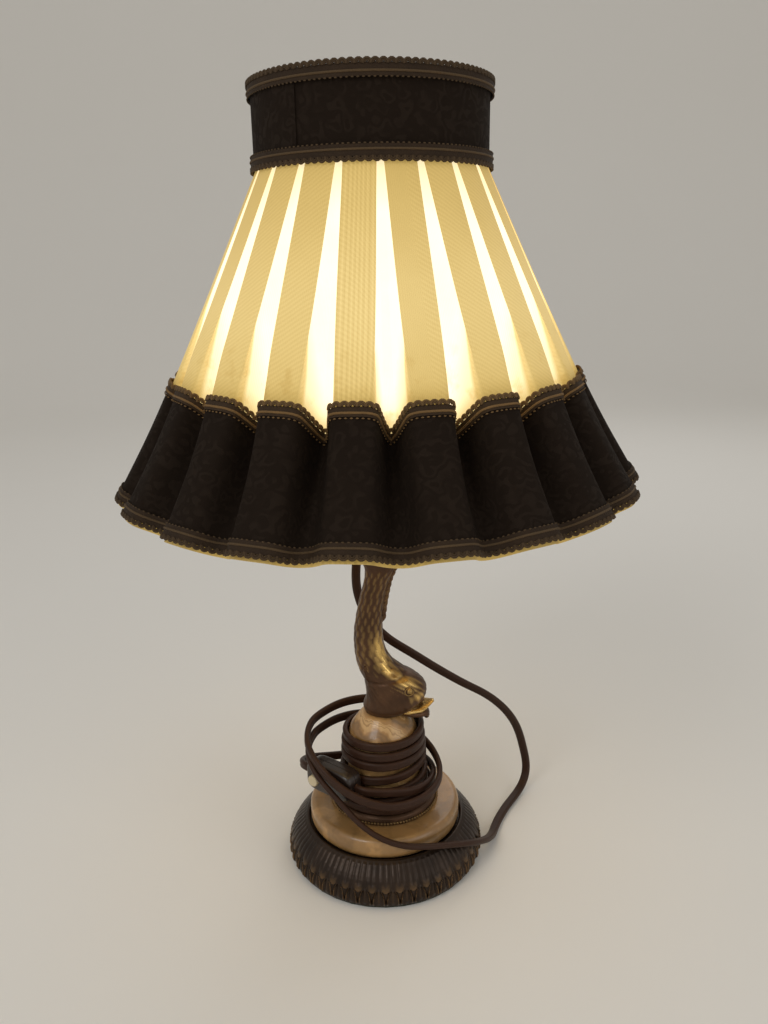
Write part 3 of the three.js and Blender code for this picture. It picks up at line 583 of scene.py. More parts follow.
def wire(name, points, radius, around=10, closed=False):
    """A bent wire of round section. A closed one has no caps."""
    if closed:
        count = len(points)
        headings = [(points[(i + 1) % count] - points[i - 1]).normalized() for i in range(count)]
        sides = [h.cross(Vector((0, 0, 1))).normalized() for h in headings]
    else:
        headings, sides = carried_frames(points, Vector((0.31, 0.87, 0.38)))
    cloud = []
    for p, heading, side in zip(points, headings, sides):
        other = heading.cross(side)
        for j in range(around):
            angle = 2 * math.pi * j / around
            cloud.append(p + side * radius * math.cos(angle) + other * radius * math.sin(angle))
    piece = new_piece(name, cloud, tube_faces(len(points), around, closed))
    return soften(face_outwards(piece), 60.0)


def dress(piece, body, slot, *replaced):
    """Gives a piece its slot's finish, its body and the CAD nodes that it stands for."""
    piece.data.materials.clear()
    piece.data.materials.append(material(slot))
    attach(piece, body)
    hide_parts(*replaced)


# Finishes


def hues():
    return settings().colours


def shade(tint, amount):
    """A darker or lighter shade of a colour."""
    return [min(c * amount, 1.0) for c in tint]


def cast_metal(name, dark_tint, worn_tint, low, high, rough, shine):
    """Metal with dark patina in its hollows and bare metal on what stands out."""
    finish = Finish(name)
    grain = finish.noise(420.0, 4.0)
    blotch = finish.noise(55.0, 3.0)
    stands = finish.field("relief") + (grain - 0.5) * 0.25 + (blotch - 0.5) * 0.3
    worn = stands.step(low, high)
    dark = finish.mottled(blotch.step(0.35, 0.7), dark_tint, 1.0, 1.8)
    finish.set(Base_Color=finish.mix(worn, dark, worn_tint), Metallic=0.62 + worn * 0.38,
               Roughness=rough - worn * shine + (grain - 0.5) * 0.2)
    return finish.bump(grain * 0.6 + blotch * 0.4, 0.0006, 0.45).material


def onyx(name, bands, scale, tilt):
    """Polished stone with bands across a tilted axis."""
    finish = Finish(name, Coat_Weight=0.35, Coat_Roughness=0.12)
    turned_place = finish.node("ShaderNodeMapping", Vector=finish.place, Rotation=tilt)
    drift = finish.noise(28.0, 4.0, rough=0.6)
    layers = finish.axis("Z", turned_place) * scale + drift * 2.4
    broad = layers.turns(1.0).wave()
    fine = (layers * 23.0 + finish.noise(90.0) * 3.0).wave()
    share = (broad * 0.72 + fine * 0.16 + finish.noise(200.0, 2.0) * 0.12).clamped()
    finish.set(Base_Color=finish.ramp(share, bands), Roughness=0.3 + fine * 0.08)
    return finish.bump(fine, 0.00015, 0.15).material


def moulded(name, tint, rough, fleck):
    """Moulded plastic, bakelite or porcelain."""
    finish = Finish(name, Coat_Weight=0.25, Coat_Roughness=0.12)
    cloud = finish.noise(70.0, 3.0)
    fine = finish.noise(900.0, 2.0)
    finish.set(Base_Color=finish.mottled(cloud, tint, 1 - fleck, 1 + 2 * fleck),
               Roughness=rough + (fine - 0.5) * 0.12)
    return finish.bump(fine, 0.0001, 0.3).material


def turned_metal(name, tint, rough):
    """Plain metal with fine turning marks round the axis and a little tarnish."""
    finish = Finish(name, Metallic=1.0)
    stretched = finish.node("ShaderNodeMapping", Vector=finish.place, Scale=(1.0, 1.0, 40.0))
    marks = finish.noise(60.0, source=stretched)
    tarnish = finish.noise(45.0, 4.0).step(0.42, 0.75)
    finish.set(Base_Color=finish.mottled(tarnish, tint, 1.0, 0.55),
               Roughness=rough + marks * 0.12 + tarnish * 0.15)
    return finish.bump(marks, 0.0001, 0.3).material


def painted_wire():
    """Cream paint on the shade's frame, chipped in places."""
    finish = Finish("cream_paint")
    cloud = finish.noise(120.0, 3.0)
    chip = finish.noise(350.0, 2.0).step(0.69, 0.74)
    paint = finish.mix(cloud, (0.60, 0.52, 0.36), (0.72, 0.65, 0.48))
    finish.set(Base_Color=finish.mix(chip, paint, (0.12, 0.09, 0.07)),
               Roughness=0.45 + chip * 0.3)
    return finish.bump(cloud - chip, 0.0002, 0.3).material


def felt():
    finish = Finish("green_felt", Roughness=0.95, Sheen_Weight=0.4)
    fuzz = finish.noise(1500.0, 4.0)
    finish.set(Base_Color=finish.mix(fuzz, (0.012, 0.022, 0.010), (0.035, 0.055, 0.028)))
    return finish.bump(fuzz, 0.0005, 0.8).material


def opal_glass():
    finish = Finish("opal_glass", Emission_Strength=1.0, Coat_Weight=0.5)
    cloud = finish.noise(40.0, 2.0)
    finish.set(Base_Color=finish.mix(cloud, (0.80, 0.72, 0.55), (0.86, 0.80, 0.66)),
               Emission_Color=finish.mix(cloud, (0.95, 0.80, 0.50), (1.0, 0.88, 0.62)),
               Roughness=0.25 + cloud * 0.08)
    return finish.material


def ivory_cloth():
    """Ribbed ivory cloth lit from inside: bright through one layer, dull through three."""
    finish = Finish("ivory_cloth", Roughness=0.85, Sheen_Weight=0.1, Emission_Strength=1.3)
    across = finish.axis("X", finish.cloth_place())
    along = finish.axis("Y", finish.cloth_place())
    ribs = across.turns(0.00085).wave()
    weft = along.turns(0.0007).wave()
    slant = (across * finish.field("lean")).turns(0.0032)
    beat = (along.turns(0.0026) + slant + finish.noise(60.0) * 1.6).wave()
    glow = finish.field("glow")
    layered = finish.field("layered")
    seam = finish.field("seam")
    stripe = across.turns(0.0021).wave()
    dust = finish.noise(38.0, 5.0, rough=0.65)
    stain = finish.noise(95.0, 4.0, rough=0.6).step(0.56, 0.7) * finish.field("low")
    figure = (ribs * 0.3 + beat * layered * 0.5 + stripe * seam * 0.9) * 0.5
    ground = finish.mottled(figure + dust * 0.3, hues().ivory, 0.84, 1.1)
    finish.set(Base_Color=finish.mix(stain * 0.3, ground, (0.42, 0.24, 0.06)))
    light = glow * (1.0 - stain * 0.22) * (0.88 + figure * 0.28) * (0.94 + dust * 0.12)
    tint = finish.ramp(light.clamped(), [
        (0.0, hues().amber), (0.22, (1.0, 0.66, 0.17)), (0.5, (1.0, 0.80, 0.38)),
        (0.95, hues().glow)])
    finish.set(Emission_Color=finish.mix(light.clamped(), (0.0, 0.0, 0.0), tint))
    return finish.bump(ribs * 0.5 + weft * 0.3 + beat * layered * 0.4, 0.00025, 0.5).material


def brocade():
    """Dark brocade with woven scrolls a tone lighter than its ground."""
    finish = Finish("dark_brocade", Specular_IOR_Level=0.1)
    place = finish.cloth_place()
    across, along = finish.axis("X", place), finish.axis("Y", place)
    weave = across.turns(0.0009).sine() * along.turns(0.0009).sine()
    scrolls = (finish.noise(105.0, 1.5, source=place) * 34.0).wave()
    leaves = finish.cells(230.0, place)
    figure = scrolls.step(0.42, 0.62) * (1.0 - leaves.step(0.38, 0.62) * 0.8)
    wear = finish.noise(50.0, 4.0)
    share = (figure * 0.45 + (weave * 0.5 + 0.5) * 0.15 + wear * 0.35).clamped()
    finish.set(Base_Color=finish.mix(share, hues().brocade, hues().figure),
               Roughness=0.9 - figure * 0.12)
    return finish.bump(figure * 0.5 + weave * 0.2 + wear * 0.15, 0.0004, 0.5).material


def gimp_braid():
    """Braid of twisted dark cord, golden where the light of the lamp comes through it."""
    finish = Finish("gimp_braid", Specular_IOR_Level=0.25, Roughness=0.75)
    strand = finish.field("strand")
    twist = finish.noise(1400.0, 2.0)
    dust = finish.noise(120.0, 3.0)
    plain = finish.mottled(dust, hues().braid, 0.5, 1.1)
    corded = finish.mix((strand * (0.3 + twist * 0.5)).clamped(), plain, hues().braid_line)
    lit = finish.field("lit") * (0.06 + strand * (0.5 + dust * 0.7))
    finish.set(Base_Color=finish.mix(lit.clamped(), corded, hues().braid_lit))
    return finish.bump(twist, 0.0005, 0.8).material


def brown_flex():
    finish = Finish("brown_flex", Coat_Weight=0.03, Coat_Roughness=0.3, Specular_IOR_Level=0.2)
    dust = finish.noise(140.0, 4.0)
    fine = finish.noise(1100.0, 2.0)
    finish.set(Base_Color=finish.mottled(dust, hues().flex, 0.8, 1.3),
               Roughness=0.42 + (fine - 0.5) * 0.15 + dust * 0.08)
    return finish.bump(fine, 0.0001, 0.35).material


def disc_bands():
    ground = hues().honey
    return [(0.0, shade(ground, 0.72)), (0.35, ground), (0.62, shade(ground, 1.15)),
            (0.9, shade(ground, 1.5))]


def column_bands():
    ground, cream = hues().honey, hues().cream
    return [(0.0, shade(ground, 0.55)), (0.3, ground), (0.55, shade(ground, 1.3)),
            (0.72, cream), (0.8, shade(ground, 1.15)), (0.95, cream)]


MATERIALS = {}


def material(slot):
    """The finish of a slot of the record, made once."""
    makers = {
        "dark_bronze": lambda: cast_metal("dark_bronze", hues().patina, hues().bronze,
                                          0.85, 1.9, 0.34, 0.08),
        "gilt_brass": lambda: cast_metal("gilt_brass", hues().umber, hues().gilt,
                                         0.3, 1.3, 0.38, 0.16),
        "honey_onyx": lambda: onyx("honey_onyx", disc_bands(), 22.0, (1.25, 0.2, 0.4)),
        "banded_onyx": lambda: onyx("banded_onyx", column_bands(), 60.0, (0.25, -0.3, 0.0)),
        "steel": lambda: turned_metal("zinc_steel", (0.50, 0.49, 0.46), 0.35),
        "brass": lambda: turned_metal("plain_brass", (0.60, 0.42, 0.18), 0.28),
        "nickel": lambda: turned_metal("nickel", (0.62, 0.59, 0.54), 0.22),
        "bakelite": lambda: moulded("bakelite", (0.020, 0.012, 0.009), 0.33, 0.15),
        "porcelain": lambda: moulded("porcelain", (0.72, 0.69, 0.60), 0.25, 0.05),
        "cream_plastic": lambda: moulded("cream_plastic", (0.62, 0.52, 0.33), 0.35, 0.08),
        "felt": felt,
        "frame_wire": painted_wire,
        "opal_glass": opal_glass,
        "ivory_cloth": ivory_cloth,
        "dark_cloth": brocade,
        "braid": gimp_braid,
        "flex": brown_flex,
    }
    if slot not in MATERIALS:
        MATERIALS[slot] = makers[slot]()
    return MATERIALS[slot]


# Flex, on the routes that it has in the CAD model

FREE_ROUTE = [
    (-1, 52, 248.5), (-3, 56.5, 242), (-5.5, 58, 233), (-8.5, 56, 222), (-11.5, 50.5, 211),
    (-14, 44, 200), (-16, 38, 187), (-16, 33.5, 172), (-11.5, 30.5, 157.5), (-4, 29.5, 146),
    (5, 30, 136.5), (19, 32, 126), (35.8, 35, 112.8), (55.6, 40, 97.7), (73.5, 45, 85),
    (87, 50, 70.6), (95.4, 54, 56.7), (100, 57, 44), (103, 59, 32), (105.5, 60, 21),
    (105.5, 58, 11.5), (101.5, 52.5, 5), (94.5, 42.5, 3), (88, 32.5, 3), (82, 22, 3),
    (77, 11.5, 3), (73.5, 1, 4.2), (70.5, -8, 8), (66.5, -16.5, 12.5), (61, -24.5, 17.5),
    (54.5, -31.5, 22), (46, -37.5, 26), (36, -43.3, 29.8), (23, -48.5, 33.2),
    (10, -51.3, 36.6), (-2, -50.3, 40.8), (-12, -46.8, 45.8), (-20, -42.3, 51.4),
    (-26, -38.8, 57.2), (-36.2, -32.4, 66), (-45.2, -24.4, 74.5), (-48.6, -12, 79.8),
    (-46.6, 1.5, 81.8),
]
# The winding: [turns, radius, height], from an angle round the axis
WINDING_START = 156.0
WINDING = [
    (0, 40.5, 82), (0.16, 32, 79), (0.34, 34, 65.5), (0.47, 37.5, 58), (0.66, 41.5, 57),
    (0.76, 44.5, 65), (0.82, 48, 74.5), (0.87, 50.5, 83.5), (0.93, 48.5, 89.5), (1, 41.5, 91.5),
    (1.16, 31, 92.1), (1.4, 25, 90.2), (2.4, 25.5, 83.6), (3.4, 25.9, 77), (4.4, 26.3, 70.4),
    (4.9, 26.8, 62.6), (5.9, 27.3, 56), (7.1, 28, 47.6), (7.6, 32.3, 47.6), (8.3, 32.3, 53),
    (8.5, 33.2, 57), (8.66, 35.8, 63),
]
TAIL_ROUTE = [
    (-54.2, 0.5, 62.3), (-52.8, 9, 59), (-47, 17.5, 55), (-38, 25, 50.8), (-28, 32, 47.2),
    (-17, 38.5, 44.2), (-7.5, 45, 42), (-1, 51, 38), (1.5, 57, 30.5), (2, 62, 23.5),
    (2, 66.8, 16.5), (2, 71, 10.5), (2, 75.5, 7.7),
]
GLAND_TIP = Vector((0, 39.9, 251))
SWITCH_CENTRE = Vector((-32, -21, 64.5))
SWITCH_AXIS = Vector((0.8, -0.6, 0))
SWITCH_LENGTH, SWITCH_WIDTH, SWITCH_THICKNESS = 36.0, 20.0, 13.0
PLUG_START = Vector((2, 86, 6.85))
PLUG_LENGTH = 44.0
END_GAP = 0.3
STEPS_PER_TURN = 18


def winding_point(turns):
    radius, height = between_stations(WINDING, turns)
    return polar(radius, WINDING_START - 360.0 * turns, height)


def flex_route():
    """The whole flex from the lampholder to the switch, and where its winding starts."""
    entry = SWITCH_CENTRE + SWITCH_AXIS * (SWITCH_LENGTH / 2 + END_GAP)
    count = int(WINDING[-1][0] * STEPS_PER_TURN)
    wound = [winding_point(i / STEPS_PER_TURN) for i in range(count + 1)]
    wound += [entry + SWITCH_AXIS * 6.0, entry]
    free = [GLAND_TIP, GLAND_TIP + Vector((0, 6, 0))] + [Vector(p) for p in FREE_ROUTE]
    path = through(free + wound, 2.2)
    start = min(range(len(path)), key=lambda i: (path[i] - wound[0]).length)
    return path, start


def relaxed(path, low, high, rounds):
    """Eases the bends of part of a path without moving its ends."""
    path = [p.copy() for p in path]
    for _ in range(rounds):
        eased = [p.copy() for p in path]
        for i in range(max(low, 3), min(high, len(path) - 3)):
            eased[i] = path[i] * 0.5 + (path[i - 1] + path[i + 1]) * 0.25
        path = eased
    return path


def flat_frames(path, wanted):
    """Thin directions along a flat flex. wanted maps a point's index to a direction there."""
    headings, sides = carried_frames(path, wanted[0])
    marks, turns = [], []
    for index in sorted(wanted):
        heading, side = headings[index], sides[index]
        other = heading.cross(side)
        goal = wanted[index]
        turn = math.atan2(goal.dot(other), goal.dot(side))
        if turns:
            turn = turns[-1] + (turn - turns[-1] + math.pi / 2) % math.pi - math.pi / 2
        marks.append(index)
        turns.append(turn)
    for i, (heading, side) in enumerate(zip(headings, sides)):
        turn = float(np.interp(i, marks, turns))
        sides[i] = side * math.cos(turn) + heading.cross(side) * math.sin(turn)
    return headings, sides


def flex_mesh(name, path, wanted):
    """A flat twin flex: two round cores side by side in one sheath."""
    sizes = settings().sizes
    thick = millimetres(sizes.flex_thickness) / 2
    reach = millimetres(sizes.flex_width) / 2 - thick
    outline = []
    for j in range(7):
        angle = math.radians(-90 + 30 * j)
        outline.append((reach + thick * math.cos(angle), thick * math.sin(angle)))
    groove = thick * 0.80
    outline.append((0.0, groove))
    outline += [(-w, h) for w, h in reversed(outline[:7])]
    outline.append((0.0, -groove))
    headings, sides = flat_frames(path, wanted)
    cloud = []
    for p, heading, thin in zip(path, headings, sides):
        wide = heading.cross(thin)
        cloud += [p + wide * w + thin * h for w, h in outline]
    piece = new_piece(name, cloud, tube_faces(len(path), len(outline)))
    return soften(face_outwards(piece), 70.0)


class LAMP_OT_flex(bpy.types.Operator):
    """Twin flex from the lampholder, down to the table, up and round the column"""
    bl_idname = "dolphin_lamp.flex"
    bl_label = "Flex"

    def execute(self, context):
        path, start = flex_route()
        path = relaxed(path, 0, start - 6, 10)
        # Its thin direction points up at the holder and on the table, and outwards in the winding
        upright = Vector((0, 0, 1))
        on_table = 3.6
        wanted = {0: upright}
        for i, p in enumerate(path):
            if 60 < i < start and p.z < on_table and i % 5 == 0:
                wanted[i] = upright
            elif start <= i and (i - start) % 4 == 0:
                wanted[i] = Vector((p.x, p.y, 0)).normalized()
        flex = flex_mesh("lamp_flex", path, wanted)
        dress(flex, "lamp", "flex", "cord_free", "cord_winding")
        leave = SWITCH_CENTRE - SWITCH_AXIS * (SWITCH_LENGTH / 2 + END_GAP)
        tail = [leave, leave - SWITCH_AXIS * 6.0] + [Vector(p) for p in TAIL_ROUTE]
        tail += [PLUG_START - Vector((0, 6, 0)), PLUG_START - Vector((0, END_GAP, 0))]
        path = through(tail, 2.0)
        path = relaxed(path, 0, len(path), 4)
        wanted = {0: Vector((-0.6, -0.8, 0)), len(path) - 1: upright}
        flex = flex_mesh("tail_flex", path, wanted)
        dress(flex, "lamp", "flex", "cord_tail")
        return {"FINISHED"}


# Base


# Where the two rows of leaves stand on the ring's face, in radius and height
LIP_RADIUS, LIP_CREST, SHOULDER = 53.0, 26.0, 15.0
ARCH_FOOT, ARCH_TALL = 2.2, 11.2
TONGUE_ROOT, TONGUE_LONG = 24.8, 13.4


def leaf_sector(count):
    """One part of the bronze ring's skin: an arch below, and the halves of two tongues above."""
    section = [(56.0, 2.0), (62.4, 2.0), (63.1, 2.2), (63.4, 3.6), (63.3, 6.0), (63.2, 8.4),
               (62.9, 10.6), (62.5, 12.6), (61.7, 15.0), (60.4, 17.6),
               (58.7, 20.0), (56.6, 22.2), (54.8, 24.0), (53.5, 25.4), (52.5, 26.4),
               (51.6, 26.9), (50.7, 26.7), (50.1, 25.9), (49.9, 24.6), (49.85, 24.1),
               (45.0, 24.1), (45.0, 21.2)]
    lowered = 0.4
    section = [(r, z - lowered) for r, z in section]
    outline = []
    for (r0, z0), (r1, z1) in zip(section, section[1:]):
        steps = 4 if 1.6 < z0 < 25.0 and r0 > LIP_RADIUS else 1
        outline += [(r0 + (r1 - r0) * k / steps, z0 + (z1 - z0) * k / steps) for k in range(steps)]
    outline.append(section[-1])
    columns = 18
    points, relief = [], []
    for j in range(columns + 1):
        a = j / columns - 0.5
        for r, z in outline:
            on_face = ARCH_FOOT + 0.2 < z < TONGUE_ROOT and r > LIP_RADIUS
            lift = 0.0
            if on_face:
                lift = max(arch_height(a, (z - ARCH_FOOT) / ARCH_TALL),
                           tongue_height(abs(a) - 0.5, (TONGUE_ROOT - z) / TONGUE_LONG))
            outwards = 0.55 if z > SHOULDER else 0.95
            points.append(polar(r + lift * outwards, 360.0 * a / count,
                                z + lift * (1 - outwards)))
            relief.append(0.2 + lift if on_face else 0.35 + 0.5 * (LIP_CREST < z))
    rows = len(outline)
    faces = [(j * rows + i, (j + 1) * rows + i, (j + 1) * rows + i + 1, j * rows + i + 1)
             for j in range(columns) for i in range(rows - 1)]
    piece = new_piece("leaf_sector", points, faces)
    store(piece, "relief", relief)
    return piece


def arch_height(across, up):
    """Height of a round-headed arch with a leaf in it: across is -0.5 to 0.5, up is 0 to 1."""
    if not 0.0 < up < 1.0:
        return 0.0
    half = 0.48 * math.sqrt(1.0 - up**2.4)
    edge = abs(across) / half
    if edge > 1.0:
        return 0.0
    rim = 1.5 * math.exp(-((edge - 0.83) / 0.13) ** 2)
    leaf = 0.75 * max(0.0, 1.0 - (edge / 0.42) ** 2) * min(1.0, 4.0 * up)
    return (rim + leaf) * min(1.0, 6.0 * up)


def tongue_height(across, down):
    """Height of a pair of ribs that hang from the lip and end in one curled tip."""
    if not 0.0 < down < 1.0:
        return 0.0
    half = 0.46 * math.sqrt(1.0 - down**6)
    edge = abs(across) / half
    if edge > 1.0:
        return 0.0
    body = math.sqrt(1.0 - edge**4) * (0.5 + 1.25 * max(down - 0.35, 0.0) ** 1.5)
    groove = 0.5 * math.exp(-(across / 0.09) ** 2) * (1.0 - ease(0.62, 0.8, down))
    return max(body - groove, 0.0)


def repeat_round(name):
    """A tree that repeats a shape round the axis, and welds where the copies meet."""
    tree = Pattern(name, shape="object", count="count", step="angle", weld="length",
                   surface="material")
    points = tree.node("GeometryNodePoints", Count=tree.given("count"))
    shape = tree.node("GeometryNodeObjectInfo", output="Geometry", Object=tree.given("shape"))
    index = Field(tree.tree, tree.node("GeometryNodeInputIndex"))
    turn = index * Field(tree.tree, tree.given("step"))
    angles = tree.node("ShaderNodeCombineXYZ", Z=turn)
    copies = tree.node("GeometryNodeInstanceOnPoints", Points=points, Instance=shape,
                       Rotation=angles)
    whole = tree.node("GeometryNodeRealizeInstances", Geometry=copies)
    welded = tree.node("GeometryNodeMergeByDistance", Geometry=whole, Distance=tree.given("weld"))
    tree.close(welded, tree.given("surface"))
    return tree


def round_axis(name, shape, count, slot, weld=0.0):
    """Repeats a shape round the axis as one piece, and removes the shape. A weld is a distance
    within which points are merged."""
    carrier = new_piece(f"{name}_carrier", [(0, 0, 0)], [])
    piece = repeat_round(name).run(carrier, name, shape=shape, count=count,
                                   step=2 * math.pi / count, weld=weld * MM,
                                   surface=material(slot))
    bpy.data.objects.remove(shape)
    return piece


class LAMP_OT_base(bpy.types.Operator):
    """Felt, leaf ring, onyx disc, beaded ring, onyx column and what ties them together"""
    bl_idname = "dolphin_lamp.base"
    bl_label = "Base"

    def execute(self, context):
        sizes = settings().sizes
        count = sizes.leaves
        skin = round_axis("leaf_ring", leaf_sector(count), count, "dark_bronze", 0.02)
        add_wall(face_outwards(skin), 1.5 * MM, -1.0)
        soften(apply_modifiers(skin), 50.0)
        dress(skin, "lamp", "dark_bronze", "base_ring")

        disc = rounded([(5.3, DISC_FOOT), (49.4, DISC_FOOT), (49.5, BEAD_FOOT), (5.3, BEAD_FOOT)],
                       5.0, 10)
        dress(turned("onyx_slab", disc), "lamp", "honey_onyx", "onyx_disc")

        foot = BEAD_FOOT
        ring = [(5.3, foot), (34.2, foot), (34.6, foot + 0.5), (34.8, foot + 1.0),
                (34.3, foot + 2.6), (33.9, foot + 4.4), (32.2, foot + 5.9), (5.3, foot + 6.0)]
        ring = turned("bead_carrier", rounded(ring, 0.5, 3))
        store(ring, "relief", 0.1)
        bead = ball("bead", bmesh.ops.create_icosphere, (34.9, 0, foot + 1.9), 0.45,
                    subdivisions=2, radius=sizes.bead)
        beads = round_axis("beads", bead, sizes.beads, "gilt_brass")
        ring = joined("beaded_collar", [ring, beads])
        dress(ring, "lamp", "gilt_brass", "beaded_ring")

        foot, top = COLUMN_FOOT, STEM_FOOT
        column = [(5.3, foot), (25.3, foot), (25.7, foot + 2), (24.5, foot + 5), (23.6, foot + 24),
                  (22.1, foot + 44), (21.2, foot + 46.8), (15.5, top - 3.5), (12.5, top),
                  (5.3, top)]
        column = turned("onyx_pillar", rounded(column, 2.0, 5))
        dress(column, "lamp", "banded_onyx", "onyx_column")
        for node in ("base_felt", "base_plate", "tie_rod", "tie_washer", "tie_nut"):
            finish_node(node)
        return {"FINISHED"}


def finish_node(name):
    """Gives a CAD node the finish of its own slot."""
    slot = next(s["material_slot"] for s in frame["record"]["subparts"] if s["node"] == name)
    node = frame["nodes"][name]
    node.data.materials.clear()
    node.data.materials.append(material(slot))


# Dolphin stem

# The body: [height over the column, middle in x, half width, half depth]
DOLPHIN_TALL = 128.0
DOLPHIN = [
    (0, 2.5, 14, 12), (4, 5, 17.5, 15), (10, 8.5, 19, 16), (18, 8.5, 19.3, 15.5),
    (24, 5, 17.2, 14), (30, -1, 13.4, 11.5), (36, -5, 10.8, 9.8), (46, -7.8, 9, 8.8),
    (58, -8, 8.4, 8.2), (74, -6, 7.4, 7.4), (88, -2.6, 7.2, 7), (96, -0.4, 8.6, 6.4),
    (104, 0, 12.5, 6.6), (112, 0, 14.5, 7.6), (119, 0, 10.4, 8.8), (128, 0, 11.5, 11.5),
]


def scale_height(around, up):
    """Height of long overlapping scales, like feathers. around counts them round the body,
    up counts rows."""
    best = 0.0
    for row in (math.floor(up), math.floor(up) + 1):
        sideways = around + 0.5 * (row % 2) + 0.14 * math.sin(row * 2.7)
        sideways = sideways - math.floor(sideways) - 0.5
        down = row + 1 - up
        reach = math.hypot(sideways * 1.95, (down - 0.35) * 0.8)
        if 0.0 <= down <= 1.7 and reach < 1.0:
            shaft = 0.18 * math.exp(-(sideways / 0.07) ** 2)
            best = max(best, (1.0 - reach**2.2) * (0.45 + 0.4 * min(down, 1.2)) + shaft)
    return best


# Painted highlights on the dolphin, drawn as patches of bare gilt: [height, degrees round it, reach
# up, reach round]
PAINTED_HIGHLIGHTS = [(24, -52, 6, 27), (44, -48, 9.5, 24), (33, -62, 5, 16), (14, -44, 3, 18)]


def painted_highlight(z, degrees):
    """How strong the painted highlight is at a height and an angle."""
    best = 0.0
    for height, place, up, round_it in PAINTED_HIGHLIGHTS:
        turn = (degrees - place + 180.0) % 360.0 - 180.0
        best = max(best, math.exp(-((z - height) / up) ** 2 - (turn / round_it) ** 2))
    return best


def dolphin_body():
    """The body from its mouth to its tail, with scales, gill and fine strokes on the head."""
    around, rows = 108, 250
    scales_around, scale_rise = 12, 4.4
    points, relief = [], []
    for i in range(rows + 1):
        z = DOLPHIN_TALL * i / rows
        centre, half, depth = between_stations(DOLPHIN, z)
        scaled = ease(22.0, 33.0, z) * (1.0 - ease(94.0, 101.0, z))
        head = ease(2.0, 7.0, z) * (1.0 - ease(21.0, 28.0, z))
        ribbed = ease(99.0, 104.0, z) * (1.0 - ease(117.0, 122.0, z))
        for j in range(around):
            turn = 2 * math.pi * j / around
            tail = ribbed * (0.25 + 0.25 * math.sin(turn * 9 + z * 0.25))
            scales = 0.8 * scaled * scale_height(scales_around * j / around,
                                                 (z + 1.6 * math.sin(turn)) / scale_rise)
            flow = 0.13 * head * math.sin(turn * 23 + z * 1.1 + 1.5 * math.sin(z * 0.5 + turn * 3))
            gill = -0.7 * math.exp(-((z - 25.0 - 2.5 * math.cos(turn)) / 1.0) ** 2)
            lift = scales + tail + flow + gill
            points.append(Vector((centre + (half + lift) * math.cos(turn),
                                  (depth + lift) * math.sin(turn), STEM_FOOT + z)))
            # bare adds the painted highlights on the forehead and neck, drawn as bare gilt metal
            bare = painted_highlight(z, math.degrees(turn)) * (0.8 + 0.6 * scales + 2.2 * flow)
            relief.append(0.1 + 0.58 * max(scales + tail, 0.0) + max(1.5 * flow, 0.0)
                          + 0.5 * gill + bare)
    piece = new_piece("dolphin_body", points, tube_faces(rows + 1, around))
    store(piece, "relief", relief)
    return soften(face_outwards(piece), 80.0)


def on_dolphin(x, side, z):
    """The place on the dolphin's skin at x and z, on its left (-1) or right (1)."""
    centre, half, depth = between_stations(DOLPHIN, z)
    return Vector((x, side * depth * math.sqrt(1.0 - ((x - centre) / half) ** 2), STEM_FOOT + z))


def bent_horn(name, points, widths, depths, worn, around=20, steps=26):
    """A lip, chin or fin: an oval body along a curve, with heights over the column."""
    path = through(points, 0.1)
    path = [path[round(i * (len(path) - 1) / steps)] for i in range(steps + 1)]
    headings = tangents(path)
    cloud = []
    for i, (p, heading) in enumerate(zip(path, headings)):
        share = i / steps * (len(widths) - 1)
        width = float(np.interp(share, range(len(widths)), widths))
        depth = float(np.interp(share, range(len(depths)), depths))
        across = Vector((0, 1, 0))
        up = across.cross(heading).normalized()
        for j in range(around):
            angle = 2 * math.pi * j / around
            cloud.append(p + up * depth * math.cos(angle) + across * width * math.sin(angle)
                         + Vector((0, 0, STEM_FOOT)))
    piece = new_piece(name, cloud, tube_faces(steps + 1, around))
    store(piece, "relief", worn)
    return soften(face_outwards(piece), 80.0)


def crest_spine(index, count):
    """One slanting spine of the back fin."""
    lowest, highest = 64.0, 98.0
    z = lowest + index * (highest - lowest) / (count - 1)
    centre, half, _ = between_stations(DOLPHIN, z)
    root = centre + half - 1.6
    tall = 3.4 * math.sin(math.pi * (0.25 + 0.6 * index / (count - 1)))
    tip = Vector((root + 1.4 + tall, 0, z + 4.2))
    line = [(root, 0, z - 2.0), (root + 1.5 + 0.5 * tall, 0, z + 0.6), tip]
    return bent_horn(f"spine_{index}", line, [1.4, 1.1, 0.3], [2.4, 1.7, 0.35], 0.35, 10, 8)


